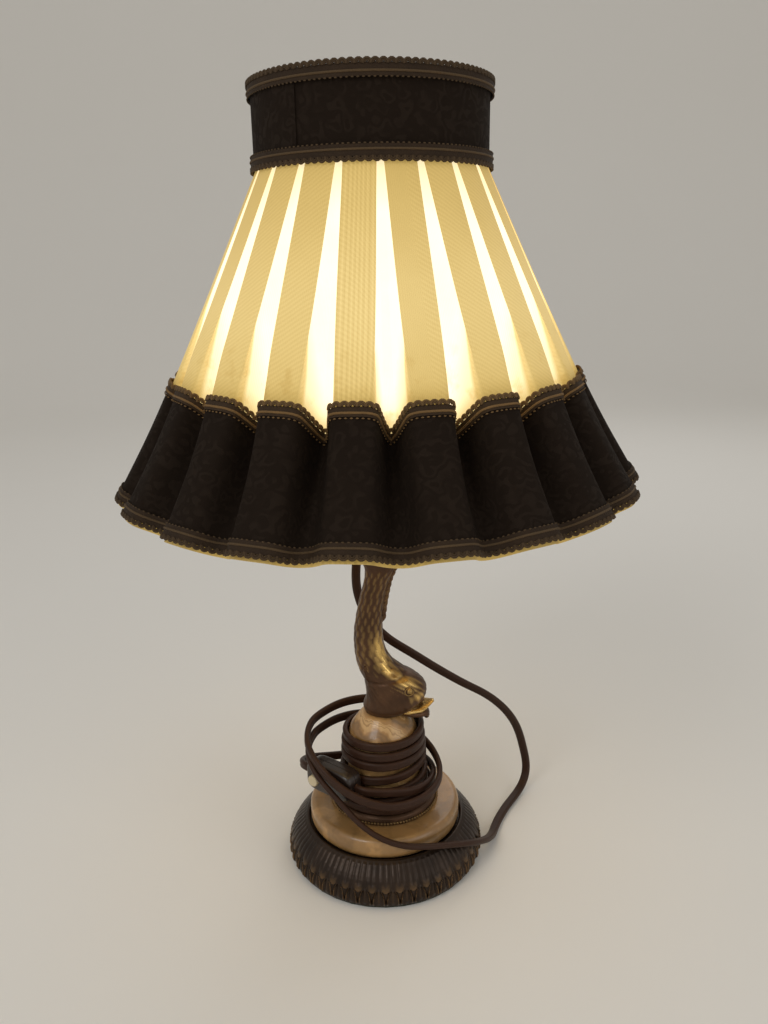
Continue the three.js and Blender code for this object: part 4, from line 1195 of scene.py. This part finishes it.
class LAMP_OT_dolphin(bpy.types.Operator):
    """Dolphin stem, standing on its head on the column, with scales, lips, fins and crest"""
    bl_idname = "dolphin_lamp.dolphin"
    bl_label = "Dolphin"

    def execute(self, context):
        pieces = [dolphin_body()]
        for name, line, widths, depths, worn in (
                ("lower_lip", [(8, 0, 3.6), (18, 0, 2.8), (26, 0, 2.6), (33, 0, 5.4)],
                 [12, 13, 9.5, 1.8], [3.4, 3.0, 2.4, 0.7], 0.95),
                ("upper_lip", [(12, 0, 11), (18, 0, 9), (23, 0, 8.4), (26.5, 0, 9)],
                 [12, 11.5, 9.5, 5.5], [4, 3.8, 3.2, 2.2], 0.1),
                ("chin", [(14, 0, 0.4), (22, 0, -1.5), (27.5, 0, -2.4), (28.5, 0, -5.0)],
                 [9.5, 9.2, 7.6, 4.6], [3.4, 3.4, 3.2, 2.0], 0.05)):
            pieces.append(bent_horn(name, line, widths, depths, worn))
        pieces += [crest_spine(i, 9) for i in range(9)]
        eye_x, eye_z = 17, 19
        for side in (-1, 1):
            pieces.append(ball(f"eye_{side}", bmesh.ops.create_uvsphere,
                               (eye_x, side * 12.7, STEM_FOOT + eye_z), 0.7,
                               u_segments=20, v_segments=12, radius=2.2 * MM))
            ring = [on_dolphin(eye_x + 2.8 * math.cos(a), side, eye_z + 2.3 * math.sin(a))
                    for a in [2 * math.pi * k / 28 for k in range(28)]]
            lid = wire(f"eyelid_{side}", ring, 0.4, 8, True)
            store(lid, "relief", 0.6)
            pieces.append(lid)
            fin = bent_horn(f"fin_{side}", [(0, 0, 22), (-8, 0, 27), (-15, 0, 35)],
                            [1.8, 1.6, 0.5], [5, 5.5, 0.9], 0.3)
            fin.data.transform(Matrix.Rotation(math.radians(side * 42), 4, "Z"))
            pieces.append(fin)
        whole = joined("dolphin_stem", pieces)
        hollow = [(r, STEM_FOOT - drop) for r, drop in (
            (0, 20), (22.6, 20), (22.6, 12.4), (21.6, 10.4), (16.1, 3), (13.5, 0), (0, 0))]
        cut_out(whole, turned("column_room", rounded(hollow, 1.6, 4), 96), crosses_itself=True)
        dress(whole, "lamp", "gilt_brass", "dolphin")
        return {"FINISHED"}


# Lampholder and bulb


class LAMP_OT_holder(bpy.types.Operator):
    """Cup, lampholder and bulb"""
    bl_idname = "dolphin_lamp.holder"
    bl_label = "Lampholder"

    def execute(self, context):
        foot = CUP_FOOT
        cup = [(5.3, foot), (9, foot), (12, foot + 2), (16, foot + 6), (16, foot + 9),
               (14.4, foot + 9), (13.6, foot + 8), (5.3, foot + 8)]
        cup = turned("tail_bowl", rounded(cup, 0.8, 4), 96)
        store(cup, "relief", 0.55)
        dress(cup, "lamp", "gilt_brass", "tail_cup")
        for node in ("holder_nipple", "holder_cap", "cord_gland", "holder_shell", "holder_core",
                     "screw_shell", "centre_contact", "bulb_cap"):
            finish_node(node)
        top = BULB_CAP_TOP
        glass = [(0, top + 1), (11.6, top + 1), (12.8, top), (14, top + 7.2), (18.6, top + 16.8),
                 (26.4, top + 30.4), (30, top + 46.4), (28.2, top + 60.8), (18, top + 74.4),
                 (0, top + 80)]
        outer = through([(r, 0, z) for r, z in glass[2:]], 1.5)
        bulb = turned("bulb_glass_round", glass[:2] + [(max(p.x, 0.0), p.z) for p in outer], 72)
        dress(bulb, "bulb", "opal_glass", "bulb_glass")
        return {"FINISHED"}


class LAMP_OT_ring_nut(bpy.types.Operator):
    """Ribbed ring nut that holds the shade"""
    bl_idname = "dolphin_lamp.ring_nut"
    bl_label = "Ring nut"

    def execute(self, context):
        foot = SHOULDER_TOP + 1.7
        section = [(19.9, foot), (23.4, foot), (23.4, foot + 3.6), (22.4, foot + 5),
                   (19.9, foot + 5)]
        body = turned("nut_body", rounded(section, 0.5, 3), 96)
        body.data.materials.append(material("bakelite"))
        rib = wire("rib", [Vector((23.3, 0, foot + 0.5)), Vector((23.3, 0, foot + 3.2))], 0.6, 8)
        ribs = round_axis("nut_ribs", rib, 48, "bakelite")
        nut = joined("ribbed_nut", [body, ribs])
        dress(nut, "ring_nut", "bakelite", "shade_ring_nut")
        return {"FINISHED"}


# Switch and plug


def blunt(value, power):
    """A sine or cosine raised to a power with its sign kept, which squares a round off."""
    return math.copysign(abs(value) ** power, value)


def rounded_slab(name, length, width, low, high, reach):
    """A half shell with round ends, whose outer edge is rolled off."""
    squareness = 0.42
    outline = []
    for turn in range(0, 360, 6):
        angle = math.radians(turn)
        outline.append((length / 2 * blunt(math.cos(angle), squareness),
                        width / 2 * blunt(math.sin(angle), squareness)))
    layers = [(0.0, low)]
    for k in range(6):
        angle = math.radians(90 * k / 5)
        layers.append((reach * (1 - math.cos(angle)),
                       high - math.copysign(reach, high - low) * (1 - math.sin(angle))))
    cloud = []
    for inset, depth in layers:
        for x, y in outline:
            cloud.append(Vector((x * (1 - 2 * inset / length), y * (1 - 2 * inset / width), depth)))
    piece = new_piece(name, cloud, tube_faces(len(layers), len(outline)))
    return face_outwards(piece)


class LAMP_OT_switch(bpy.types.Operator):
    """Cord switch under the loops of the flex, with its push button"""
    bl_idname = "dolphin_lamp.switch"
    bl_label = "Cord switch"

    def execute(self, context):
        place = (Matrix.Translation(SWITCH_CENTRE * MM)
                 @ Matrix.Rotation(math.atan2(SWITCH_AXIS.y, SWITCH_AXIS.x), 4, "Z")
                 @ Matrix.Rotation(math.radians(90), 4, "X"))
        face = SWITCH_THICKNESS / 2
        x, y = -11, -2
        cover = rounded_slab("switch_shell", SWITCH_LENGTH, SWITCH_WIDTH, 0.15, face, 2.4)
        cut_out(cover, wire("well", [Vector((x, y, 1.6)), Vector((x, y, face + 3))], 4.05, 40))
        base = rounded_slab("switch_back", SWITCH_LENGTH, SWITCH_WIDTH, -0.15, -face, 2.4)
        for half, node in ((cover, "switch_cover"), (base, "switch_base")):
            half.data.transform(place)
            dress(soften(half, 40.0), "lamp", "bakelite", node)
        button = turned("push_button", rounded([(0, 3.4), (3.7, 3.4), (3.7, face + 2.1),
                                                (0, face + 2.1)], 0.8, 5), 40)
        button.data.transform(place @ Matrix.Translation(Vector((x, y, 0)) * MM))
        dress(button, "button", "cream_plastic", "switch_button")
        return {"FINISHED"}


class LAMP_OT_plug(bpy.types.Operator):
    """Flat plug that lies behind the base"""
    bl_idname = "dolphin_lamp.plug"
    bl_label = "Plug"

    def execute(self, context):
        stations = [(0, 4.5, 4), (8, 4.9, 4.2), (18.5, 6, 4.75), (27.3, 14.1, 5.9),
                    (31.5, 17.0, 6.6), (35, 17.6, 6.85), (43, 17.6, 6.85), (44, 16.8, 6.2)]
        widest, deepest = 17.6, 6.85
        cloud, rows, around, squareness = [], 76, 48, 0.62
        for i in range(rows + 1):
            y = PLUG_LENGTH * i / rows
            width, depth = between_stations(stations, y)
            groove = 0.35 * (0.5 + 0.5 * math.cos(y * 2.9)) * (1 - ease(14.0, 18.0, y))
            for j in range(around):
                angle = 2 * math.pi * j / around
                c, s = math.cos(angle), math.sin(angle)
                cloud.append(PLUG_START + Vector((
                    min(width, widest) * blunt(c, squareness) - groove * c,
                    y, min(depth, deepest) * blunt(s, squareness) - groove * s)))
        body = new_piece("plug_shell", cloud, tube_faces(rows + 1, around))
        soften(face_outwards(body), 50.0)
        dress(body, "lamp", "bakelite", "plug_body")
        for name, x in (("plug_pin_left", 2 - 9.3), ("plug_pin_right", 2 + 9.3)):
            section = rounded([(0, 0), (2, 0), (2, 17), (1.3, 19), (0, 19)], 0.4, 4)
            pin = turned(f"{name}_round", section, 32)
            root = Vector((x, PLUG_START.y + PLUG_LENGTH, PLUG_START.z))
            pin.data.transform(Matrix.Translation(root * MM)
                               @ Matrix.Rotation(math.radians(-90), 4, "X"))
            dress(pin, "lamp", "nickel", name)
        return {"FINISHED"}


# Shade frame


class LAMP_OT_frame(bpy.types.Operator):
    """Wire frame of the shade: three rings, six struts and the fitting with its arms"""
    bl_idname = "dolphin_lamp.frame"
    bl_label = "Shade frame"

    def execute(self, context):
        upper, lower, low = COLLAR_RADIUS - 2.8, 90.3, SHOULDER_TOP + 30.0
        heights = {"frame_top_ring": (upper, COLLAR_TOP - 2.0),
                   "frame_collar_ring": (upper, COLLAR_BOTTOM + 1.7),
                   "frame_lower_ring": (lower, low)}
        for node, (radius, height) in heights.items():
            path = [polar(radius, 3.0 * k, height) for k in range(120)]
            ring = wire(f"{node}_wire", path, 1.5, 12, True)
            dress(ring, "shade", "frame_wire", node)
        for i in range(6):
            angle = 60.0 * i
            path = [polar(upper - 3.05, angle, COLLAR_TOP - 0.6),
                    polar(upper - 3.05, angle, COLLAR_BOTTOM + 0.5),
                    polar(upper - 2.7, angle, COLLAR_BOTTOM - 2.4),
                    polar(lower - 3.4, angle, low + 1.2), polar(lower - 3.05, angle, low - 1.4)]
            strut = wire(f"strut_wire_{i + 1}", path, 1.25, 12)
            dress(strut, "shade", "frame_wire", f"frame_strut_{i + 1}")
        foot = SHOULDER_TOP
        section = [(19.9, foot), (26.9, foot), (26.9, foot + 1.6), (19.9, foot + 1.6)]
        parts = [turned("fitting", rounded(section, 0.5, 3), 96)]
        for angle in (30, 150, 270):
            path = through([polar(25.0, angle, foot + 0.9), polar(50, angle, foot + 15.6),
                            polar(72.5, angle, low - 1.1), polar(80, angle, low),
                            polar(88.3, angle, low)], 2.0)
            parts.append(wire(f"arm_{angle}", path, 1.5, 12))
        spider = joined("fitting_and_arms", parts)
        dress(spider, "shade", "frame_wire", "shade_spider")
        return {"FINISHED"}


# Pleated cloth, border and braids

PLEATS = 20
PITCH = 360.0 / PLEATS
FIRST_PLEAT = 265.0
ROWS = 66
BORDER_TOP = 0.5
HEM_TURN = 1.034
# The cloth's ridges and valleys at the collar, the border and the hem: [radius, height over the
# fitting], then their half widths as shares of a pleat and how far a ridge's edges lie back
RIDGE = [(61.85, 144.0), (114.3, 36.0), (149.3, -24.0)]
VALLEY = [(60.7, 144.0), (96.0, 20.0), (134.0, -31.0)]
BAND_HALF = [0.405, 0.245, 0.22]
VALLEY_HALF = [0.04, 0.11, 0.13]
EDGE_DROP = [0.0, 1.0, 2.5]


def between(values, t):
    """A value between three that hold at the collar, the border and the hem."""
    half = 0 if t < 0.5 else 1
    return values[half] + (values[half + 1] - values[half]) * (2 * t - half)


def meridian(line, t):
    """A smooth line through three points: [radius, height over the fitting]."""
    a, b, c = [Vector(p) for p in line]
    before, start, end, after = (a, a, b, c) if t < 0.5 else (a, b, c, c)
    u = 2 * t if t < 0.5 else 2 * t - 1
    return cubic(start, (end - before) / 2, end, (after - start) / 2, u)


class Drape:
    """The pleated cloth as a grid of points: box pleats at the collar, open waves at the hem."""

    # Columns of the grid between the corners of one pleat, and where its folds are all open
    SPANS = (2, 4, 1, 3, 8, 3, 1, 4, 2)
    OPEN = 0.46

    def __init__(self, fold):
        chance = random.Random(11)
        self.wander = [(chance.uniform(-0.5, 0.5), chance.uniform(-1.6, 1.2),
                        chance.uniform(-1.2, 1.2)) for _ in range(PLEATS)]
        self.fold = fold
        self.columns = sum(self.SPANS) * PLEATS
        rows = [self.row(i / (ROWS - 1)) for i in range(ROWS)]
        self.grid = np.array([[tuple(p) for p in row] for row in rows])
        self.smooth()
        self.normals = self.facing()

    def stations(self, pleat, t):
        """Corners of one pleat: [degrees, radius, height]."""
        turn, swell, drop = self.wander[pleat % PLEATS]
        loose = ease(0.15, 1.0, t)
        ridge, valley = meridian(RIDGE, t), meridian(VALLEY, t)
        crown = ridge.x + swell * loose
        half = PITCH * between(BAND_HALF, t)
        dip = between(EDGE_DROP, t)
        low = PITCH / 2 - PITCH * between(VALLEY_HALF, t)
        folded = self.fold * (1 - t / self.OPEN) if t < self.OPEN else 0.0
        under = math.degrees(folded / ridge.x)
        opened = ease(0.28, self.OPEN, t)
        edge = (half, crown - dip, ridge.y)
        foot = (low, valley.x, valley.y)

        def along(share):
            return tuple(edge[k] + (foot[k] - edge[k]) * share for k in range(3))

        def blend(closed, share):
            target = along(share)
            return tuple(closed[k] + (target[k] - closed[k]) * opened for k in range(3))

        inner = blend((half - under, crown - dip - 0.45, ridge.y), 0.12)
        back = blend((half - under, crown - dip - 0.8, ridge.y), 0.24)
        side = [foot, back, inner, edge]
        corners = [(-a, r, z) for a, r, z in side] + [(a, r, z) for a, r, z in reversed(side)]
        middle = FIRST_PLEAT + pleat * PITCH
        moved = [(middle + a + turn * loose, r, z + drop * loose) for a, r, z in corners]
        seam = (valley.x - 0.3 * loose, valley.y)
        return [(middle - PITCH / 2, *seam), *moved, (middle + PITCH / 2, *seam)]

    def row(self, t):
        """A row of the grid: the corners of all pleats, and points between them."""
        points = []
        for pleat in range(PLEATS):
            corners = self.stations(pleat, t)
            for span, start, end in zip(self.SPANS, corners, corners[1:]):
                for k in range(span):
                    u = k / span
                    a, r, z = (start[m] + (end[m] - start[m]) * u for m in range(3))
                    points.append(polar(r, a, SHOULDER_TOP + z))
        return points

    def smooth(self):
        """Rounds the folds more and more towards the hem."""
        share = np.array([ease(0.38, 0.75, i / (ROWS - 1)) for i in range(ROWS)])
        weight = (0.5 * share)[:, None, None]
        for _ in range(14):
            middle = (np.roll(self.grid, 1, axis=1) + np.roll(self.grid, -1, axis=1)) / 2
            self.grid = self.grid + (middle - self.grid) * weight

    def facing(self):
        """Directions square to the cloth, at the points of its grid."""
        sideways = np.roll(self.grid, -1, axis=1) - np.roll(self.grid, 1, axis=1)
        downwards = np.gradient(self.grid, axis=0)
        facing = np.cross(downwards, sideways)
        return facing / np.maximum(np.linalg.norm(facing, axis=2, keepdims=True), 1e-9)

    def points(self, t, offset):
        """A row of the cloth between the rows of its grid, moved outwards."""
        place = max(t, 0.0) * (ROWS - 1)
        i = min(int(place), ROWS - 2)
        u = place - i
        row = self.grid[i] * (1 - u) + self.grid[i + 1] * u
        facing = self.normals[i] * (1 - u) + self.normals[i + 1] * u
        return row + facing * offset

    def widths(self, t):
        """Distances along a row of the cloth from its first point."""
        row = self.points(t, 0.0)
        steps = np.linalg.norm(np.roll(row, -1, axis=0) - row, axis=1)
        return np.concatenate([[0.0], np.cumsum(steps)])


def cloth_piece(name, drape, shares, offset, thickness):
    """A sheet that follows the drape between its rows, with its own flat coordinates."""
    rows = [drape.points(t, offset) for t in shares]
    count = drape.columns
    points = [tuple(p) for row in rows for p in row]
    piece = new_piece(name, points, sheet_faces(len(rows), count))
    lengths = drape.widths(0.62)
    fall = np.cumsum([0.0] + [float(np.mean(np.linalg.norm(b - a, axis=1)))
                              for a, b in zip(rows, rows[1:])])
    corners = []
    for top, low in zip(fall, fall[1:]):
        for left, right in zip(lengths, lengths[1:]):
            corners += [(left, top), (left, low), (right, low), (right, top)]
    store_flat(piece, corners)
    add_wall(piece, thickness)
    area = sum(float(np.linalg.norm(np.cross(b - a, np.roll(a, -1, axis=0) - a), axis=1).sum())
               for a, b in zip(rows, rows[1:])) * MM * MM
    return piece, (float(lengths[-1]) * MM, float(fall[-1]) * MM, area)


def declare_sheet(cut):
    """Works out the flat cloth's width, which can't be less than the area that hangs there over its
    length. The result is not used.
    """
    width, length, area = cut
    width = max(width, area / length)


DRAPES = {}


def drape():
    """The drape that the cloth, its border and their braids share."""
    if "cloth" not in DRAPES:
        DRAPES["cloth"] = Drape(millimetres(settings().sizes.fold))
    return DRAPES["cloth"]


class LAMP_OT_cloth(bpy.types.Operator):
    """Ivory cloth in twenty box pleats that open into waves at the hem"""
    bl_idname = "dolphin_lamp.cloth"
    bl_label = "Pleated cloth"

    def execute(self, context):
        fabric = drape()
        shares = [i / (ROWS - 1) for i in range(ROWS)] + [HEM_TURN]
        piece, cut = cloth_piece("pleated_shade", fabric, shares, 0.0, settings().sizes.cloth)
        starts = np.cumsum((0,) + fabric.SPANS)
        bulb, bright_within = np.array([0.0, 0.0, 340.0]), 92.0
        marks = {"glow": [], "layered": [], "seam": [], "lean": [], "low": []}
        for i, t in enumerate(shares):
            bordered = 1.0 if t < 0.44 else 1 - 0.35 * ease(0.44, 0.5, t)
            for j in range(fabric.columns):
                pleat, k = divmod(j, sum(fabric.SPANS))
                on_band = starts[4] <= k <= starts[5]
                near_fold = starts[3] <= k <= starts[6]
                band = 1.0 if on_band else (0.8 if near_fold else 0.0)
                point = fabric.grid[min(i, ROWS - 1)][j]
                light = min((bright_within / float(np.linalg.norm(point - bulb))) ** 2, 1.0)
                dim = band * (0.65 - 0.15 * ease(0.12, 0.46, t))
                from_front = math.degrees(math.atan2(point[1], point[0])) + 90.0
                slant = math.copysign(min(abs(from_front) / 14.0, 1.0), -from_front)
                marks["glow"].append(light * (1 - dim) * bordered)
                marks["layered"].append(band)
                marks["seam"].append(1.0 if on_band and pleat == 0 else 0.0)
                marks["lean"].append(slant * band)
                marks["low"].append(ease(0.3, 0.5, t))
        for name, values in marks.items():
            store(piece, name, values)
        soften(apply_modifiers(piece), 60.0)
        dress(piece, "shade", "ivory_cloth", "pleated_cloth")
        declare_sheet(cut)
        return {"FINISHED"}


class LAMP_OT_border(bpy.types.Operator):
    """Dark brocade border over the lower half of the cloth"""
    bl_idname = "dolphin_lamp.border"
    bl_label = "Border"

    def execute(self, context):
        end = 0.988
        shares = [BORDER_TOP + (end - BORDER_TOP) * i / 36 for i in range(37)]
        piece, cut = cloth_piece("brocade_border", drape(), shares, 1.15,
                                 settings().sizes.brocade)
        soften(apply_modifiers(piece), 60.0)
        dress(piece, "shade", "dark_cloth", "border_cloth")
        declare_sheet(cut)
        return {"FINISHED"}


class LAMP_OT_collar(bpy.types.Operator):
    """Stiff collar of dark brocade, lapped at its seam"""
    bl_idname = "dolphin_lamp.collar"
    bl_label = "Collar"

    def execute(self, context):
        steps, seam = 240, 236.0
        top = COLLAR_HEIGHT
        levels = [0, 0.6, 1.2, 10, 20, 30, top - 1.2, top - 0.6, top]
        edge = {0: 0.5, 0.6: 0.12, top - 0.6: 0.12, top: 0.5}
        ring = []
        for i in range(steps + 1):
            share = i / steps
            angle = seam + 360.0 * share
            outer = COLLAR_RADIUS + 0.8 * max(0.0, (share - 0.8) / 0.2)
            column = [polar(outer - edge.get(z, 0.0), angle, COLLAR_BOTTOM + z) for z in levels]
            column += [polar(COLLAR_RADIUS - 1, angle, COLLAR_BOTTOM + z)
                       for z in (top, top / 2, 0)]
            ring.append(column)
        around = len(ring[0])
        piece = new_piece("collar_brocade", [p for column in ring for p in column],
                          sheet_faces(steps + 1, around, joined_up=True))
        arc = 2 * math.pi * COLLAR_RADIUS / steps
        climb = levels + [top, top / 2, 0]
        corners = []
        for i in range(steps + 1):
            left, right = arc * i, arc * (i + 1)
            for j in range(around):
                low, high = climb[j], climb[(j + 1) % around]
                corners += [(left, low), (right, low), (right, high), (left, high)]
        store_flat(piece, corners)
        soften(face_outwards(piece, merge=True), 40.0)
        dress(piece, "shade", "dark_cloth", "collar_band")
        return {"FINISHED"}


def braid_tree():
    """Braid details along a path: a row of scallops, a raised cord and a row of stitches."""
    tree = Pattern("braid_details", scallop_pitch="length", scallop_radius="length",
                   cord_radius="length", scallop_edge="length", line_place="length",
                   stitch_place="length", stitch_pitch="length", surface="material")
    outward, across = tree.vectors("outward"), tree.vectors("across")
    route = tree.node("GeometryNodeMeshToCurve", Mesh=tree.geometry)
    upright = tree.node("FunctionNodeAxesToRotation", {"primary_axis": "Z",
                                                       "secondary_axis": "X"},
                        Primary_Axis=outward, Secondary_Axis=across)

    def marked(geometry, value):
        return tree.node("GeometryNodeStoreNamedAttribute",
                         {"data_type": "FLOAT", "domain": "POINT"}, Geometry=geometry,
                         Name="strand", Value=value)

    def row(pitch, place):
        spaced = tree.node("GeometryNodeResampleCurve", {"mode": "LENGTH"}, Curve=route,
                           Length=pitch)
        return tree.node("GeometryNodeSetPosition", Geometry=spaced,
                         Offset=tree.shift(across, place))

    def cord(curve, sides, **choices):
        section = tree.node("GeometryNodeCurvePrimitiveCircle", {"mode": "RADIUS"}, "Curve",
                            Resolution=sides, Radius=tree.given("cord_radius"))
        return tree.node("GeometryNodeCurveToMesh", Curve=curve, Profile_Curve=section,
                         **choices)

    loops = []
    for scale, value in ((1.0, 0.6), (0.5, 0.35)):
        radius = Field(tree.tree, tree.given("scallop_radius")) * scale
        arc = tree.node("GeometryNodeCurveArc", {"mode": "RADIUS"}, "Curve", Resolution=8,
                        Radius=radius, Start_Angle=math.radians(-105),
                        Sweep_Angle=math.radians(210))
        points = row(tree.given("scallop_pitch"), tree.given("scallop_edge"))
        loops.append(tree.node("GeometryNodeInstanceOnPoints", Points=points, Rotation=upright,
                               Instance=marked(cord(arc, 6, Fill_Caps=True), value)))
    moved = tree.node("GeometryNodeSetPosition", Geometry=route,
                      Offset=tree.shift(across, tree.given("line_place")))
    line = marked(cord(moved, 7), 1.0)
    knot = tree.node("GeometryNodeMeshIcoSphere", Radius=tree.given("cord_radius"),
                     Subdivisions=1)
    knots = tree.node("GeometryNodeInstanceOnPoints",
                      Points=row(tree.given("stitch_pitch"), tree.given("stitch_place")),
                      Instance=marked(knot, 0.8), Rotation=upright, Scale=(0.7, 1.35, 0.6))
    tree.close(tree.gather(*loops, line, knots), tree.given("surface"))
    return tree


def braid(name, rows, outward, across, node, lit):
    """A flat braid over rows of points, with details along its middle row."""
    sizes = settings().sizes
    count = len(rows[0])
    tape = new_piece(f"{name}_tape", [tuple(p) for row in rows for p in row],
                     sheet_faces(len(rows), count))
    tape.data.materials.append(material("braid"))
    store(tape, "strand", 0.0)
    add_wall(tape, 0.6 * MM)
    soften(apply_modifiers(tape), 60.0)
    middle = [Vector(p) + Vector(o) * 0.3 for p, o in zip(rows[len(rows) // 2], outward)]
    edges = [(j, (j + 1) % count) for j in range(count)]
    carrier = new_piece(f"{name}_route", middle, [], edges)
    store_vectors(carrier, "outward", outward)
    store_vectors(carrier, "across", across)
    pitch = sizes.scallop
    details = braid_tree().run(
        carrier, f"{name}_details", scallop_pitch=pitch, scallop_radius=pitch * 0.48,
        cord_radius=sizes.braid_cord, scallop_edge=2.8 * MM, line_place=-0.5 * MM,
        stitch_place=-3.0 * MM, stitch_pitch=sizes.stitch, surface=material("braid"))
    details.data.shade_smooth()
    piece = joined(name, [tape, details])
    store(piece, "lit", lit)
    dress(piece, "shade", "braid", node)


def unit_length(fabric, t):
    """How far the cloth falls, in millimetres, as t grows by one."""
    step = fabric.points(t + 0.01, 0.0) - fabric.points(t - 0.01, 0.0)
    return float(np.mean(np.linalg.norm(step, axis=1))) / 0.02


def unit_rows(vectors):
    return vectors / np.maximum(np.linalg.norm(vectors, axis=1, keepdims=True), 1e-9)


class LAMP_OT_braids(bpy.types.Operator):
    """Gimp braids: two on the collar, one along the border's top and one along its hem"""
    bl_idname = "dolphin_lamp.braids"
    bl_label = "Braids"

    def execute(self, context):
        angles = [1.5 * k for k in range(240)]
        outward = [polar(1, a, 0) for a in angles]
        for name, low, way in (("collar_braid_upper", COLLAR_TOP - 7.8, 1.0),
                               ("collar_braid_lower", COLLAR_BOTTOM - 0.8, -1.0)):
            node = "collar_braid_top" if way > 0 else "collar_braid_bottom"
            rows = [[polar(COLLAR_RADIUS + 1.55, a, low + z) for a in angles]
                    for z in (1.6, 4.3, 7.0)]
            across = [Vector((0, 0, way)) for _ in angles]
            braid(name, rows, outward, across, node, 0.1)
        fabric = drape()
        for name, node, edge, inset, way in (
                ("border_braid_scalloped", "border_braid", BORDER_TOP, 2.7, -1.0),
                ("hem_braid_scalloped", "hem_braid", 1.0, 3.3, 1.0)):
            fall = unit_length(fabric, edge)
            middle = edge - way * inset / fall
            rows = [fabric.points(middle + step / fall, 1.9) for step in (-2.3, 0, 2.3)]
            facing = unit_rows(fabric.points(middle, 1.0) - fabric.points(middle, 0.0))
            braid(name, rows, facing, unit_rows(rows[2] - rows[0]) * way, node,
                  1.0 if way < 0 else 0.1)
        return {"FINISHED"}


# Stage

# The camera of the photo: its place in metres, its tilt and roll, and its lens in pixels
CAMERA_PLACE, CAMERA_TILT, CAMERA_ROLL = (0.0031, -0.484, 0.383), 17, -1.04
FOCAL_LENGTH, PHOTO_HEIGHT, SENSOR = 840.0, 1024.0, 36.0


class LAMP_OT_stage(bpy.types.Operator):
    """Camera at the photographed angle, pale floor and soft studio light"""
    bl_idname = "dolphin_lamp.stage"
    bl_label = "Stage"

    def execute(self, context):
        scene = context.scene
        values = settings().stage
        scene.view_settings.view_transform = "Standard"
        lens = bpy.data.cameras.new("photo_camera")
        lens.lens, lens.sensor_width = FOCAL_LENGTH / PHOTO_HEIGHT * SENSOR, SENSOR
        lens.clip_start, lens.clip_end = 0.01, 20.0
        camera = in_scene("photo_camera", lens)
        camera.matrix_world = (Matrix.Translation(CAMERA_PLACE)
                               @ Matrix.Rotation(math.radians(90 - CAMERA_TILT), 4, "X")
                               @ Matrix.Rotation(math.radians(CAMERA_ROLL), 4, "Z"))
        scene.camera = camera

        reach, back, bend, steps = 4000.0, 1600.0, 900.0, 16
        outline = [(-reach, 0.0), (back, 0.0)]
        for k in range(1, steps + 1):
            angle = math.radians(90 * k / steps)
            outline.append((back + bend * math.sin(angle), bend * (1 - math.cos(angle))))
        outline.append((back + bend, 3500.0))
        points = [(x, y, z) for y, z in outline for x in (-reach, reach)]
        faces = [(2 * i, 2 * i + 1, 2 * i + 3, 2 * i + 2) for i in range(len(outline) - 1)]
        floor = new_piece("floor", points, faces)
        floor.data.shade_smooth()
        paint = Finish("pale_floor", Roughness=0.9)
        mottle = paint.noise(4.0, 3.0)
        paint.set(Base_Color=paint.mottled(mottle, values.floor, 0.985, 1.0))
        floor.data.materials.append(paint.material)

        world = bpy.data.worlds.new("studio")
        world.use_nodes = True
        scene.world = world
        tree = world.node_tree
        plug_in(tree, tree.nodes["Background"],
                {"Color": (1.0, 0.97, 0.92), "Strength": values.surround})
        for name, power, extent, spot, aim in (
                ("key", values.key, 0.7, (-0.9, -1.1, 1.25), (0, 0, 0.22)),
                ("fill", values.fill, 0.9, (1.2, -0.9, 0.75), (0, 0, 0.2)),
                ("back", values.fill, 0.8, (0.5, 1.2, 1.1), (0, 0, 0.25))):
            lamp = bpy.data.lights.new(f"{name}_lamp", "AREA")
            lamp.energy, lamp.size = power, extent
            holder = in_scene(f"{name}_lamp", lamp)
            holder.location = spot
            look = Vector(aim) - Vector(spot)
            holder.rotation_euler = look.to_track_quat("-Z", "Y").to_euler()
        return {"FINISHED"}


OPERATORS = (LAMP_OT_stage, LAMP_OT_switch, LAMP_OT_plug, LAMP_OT_flex, LAMP_OT_base,
             LAMP_OT_dolphin, LAMP_OT_holder, LAMP_OT_ring_nut, LAMP_OT_frame, LAMP_OT_cloth,
             LAMP_OT_border, LAMP_OT_collar, LAMP_OT_braids)


class LAMP_PT_panel(bpy.types.Panel):
    """Lists the lamp's pieces and settings"""
    bl_idname = "LAMP_PT_panel"
    bl_label = "Dolphin lamp"
    bl_space_type = "VIEW_3D"
    bl_region_type = "UI"
    bl_category = "Lamp"

    def draw(self, context):
        values = context.scene.dolphin_lamp
        for group in (values.sizes, values.colours, values.stage):
            box = self.layout.box()
            for key in group.__annotations__:
                box.prop(group, key)
        for operator in OPERATORS:
            self.layout.operator(operator.bl_idname)


CLASSES = (LampSizes, LampColours, LampStage, LampSettings, *OPERATORS, LAMP_PT_panel)


def register():
    for cls in CLASSES:
        bpy.utils.register_class(cls)
    bpy.types.Scene.dolphin_lamp = PointerProperty(type=LampSettings)


def unregister():
    del bpy.types.Scene.dolphin_lamp
    for cls in reversed(CLASSES):
        bpy.utils.unregister_class(cls)


def main():
    register()
    for operator in OPERATORS:
        getattr(bpy.ops.dolphin_lamp, operator.bl_idname.split(".")[1])()


if __name__ == "__main__":
    main()
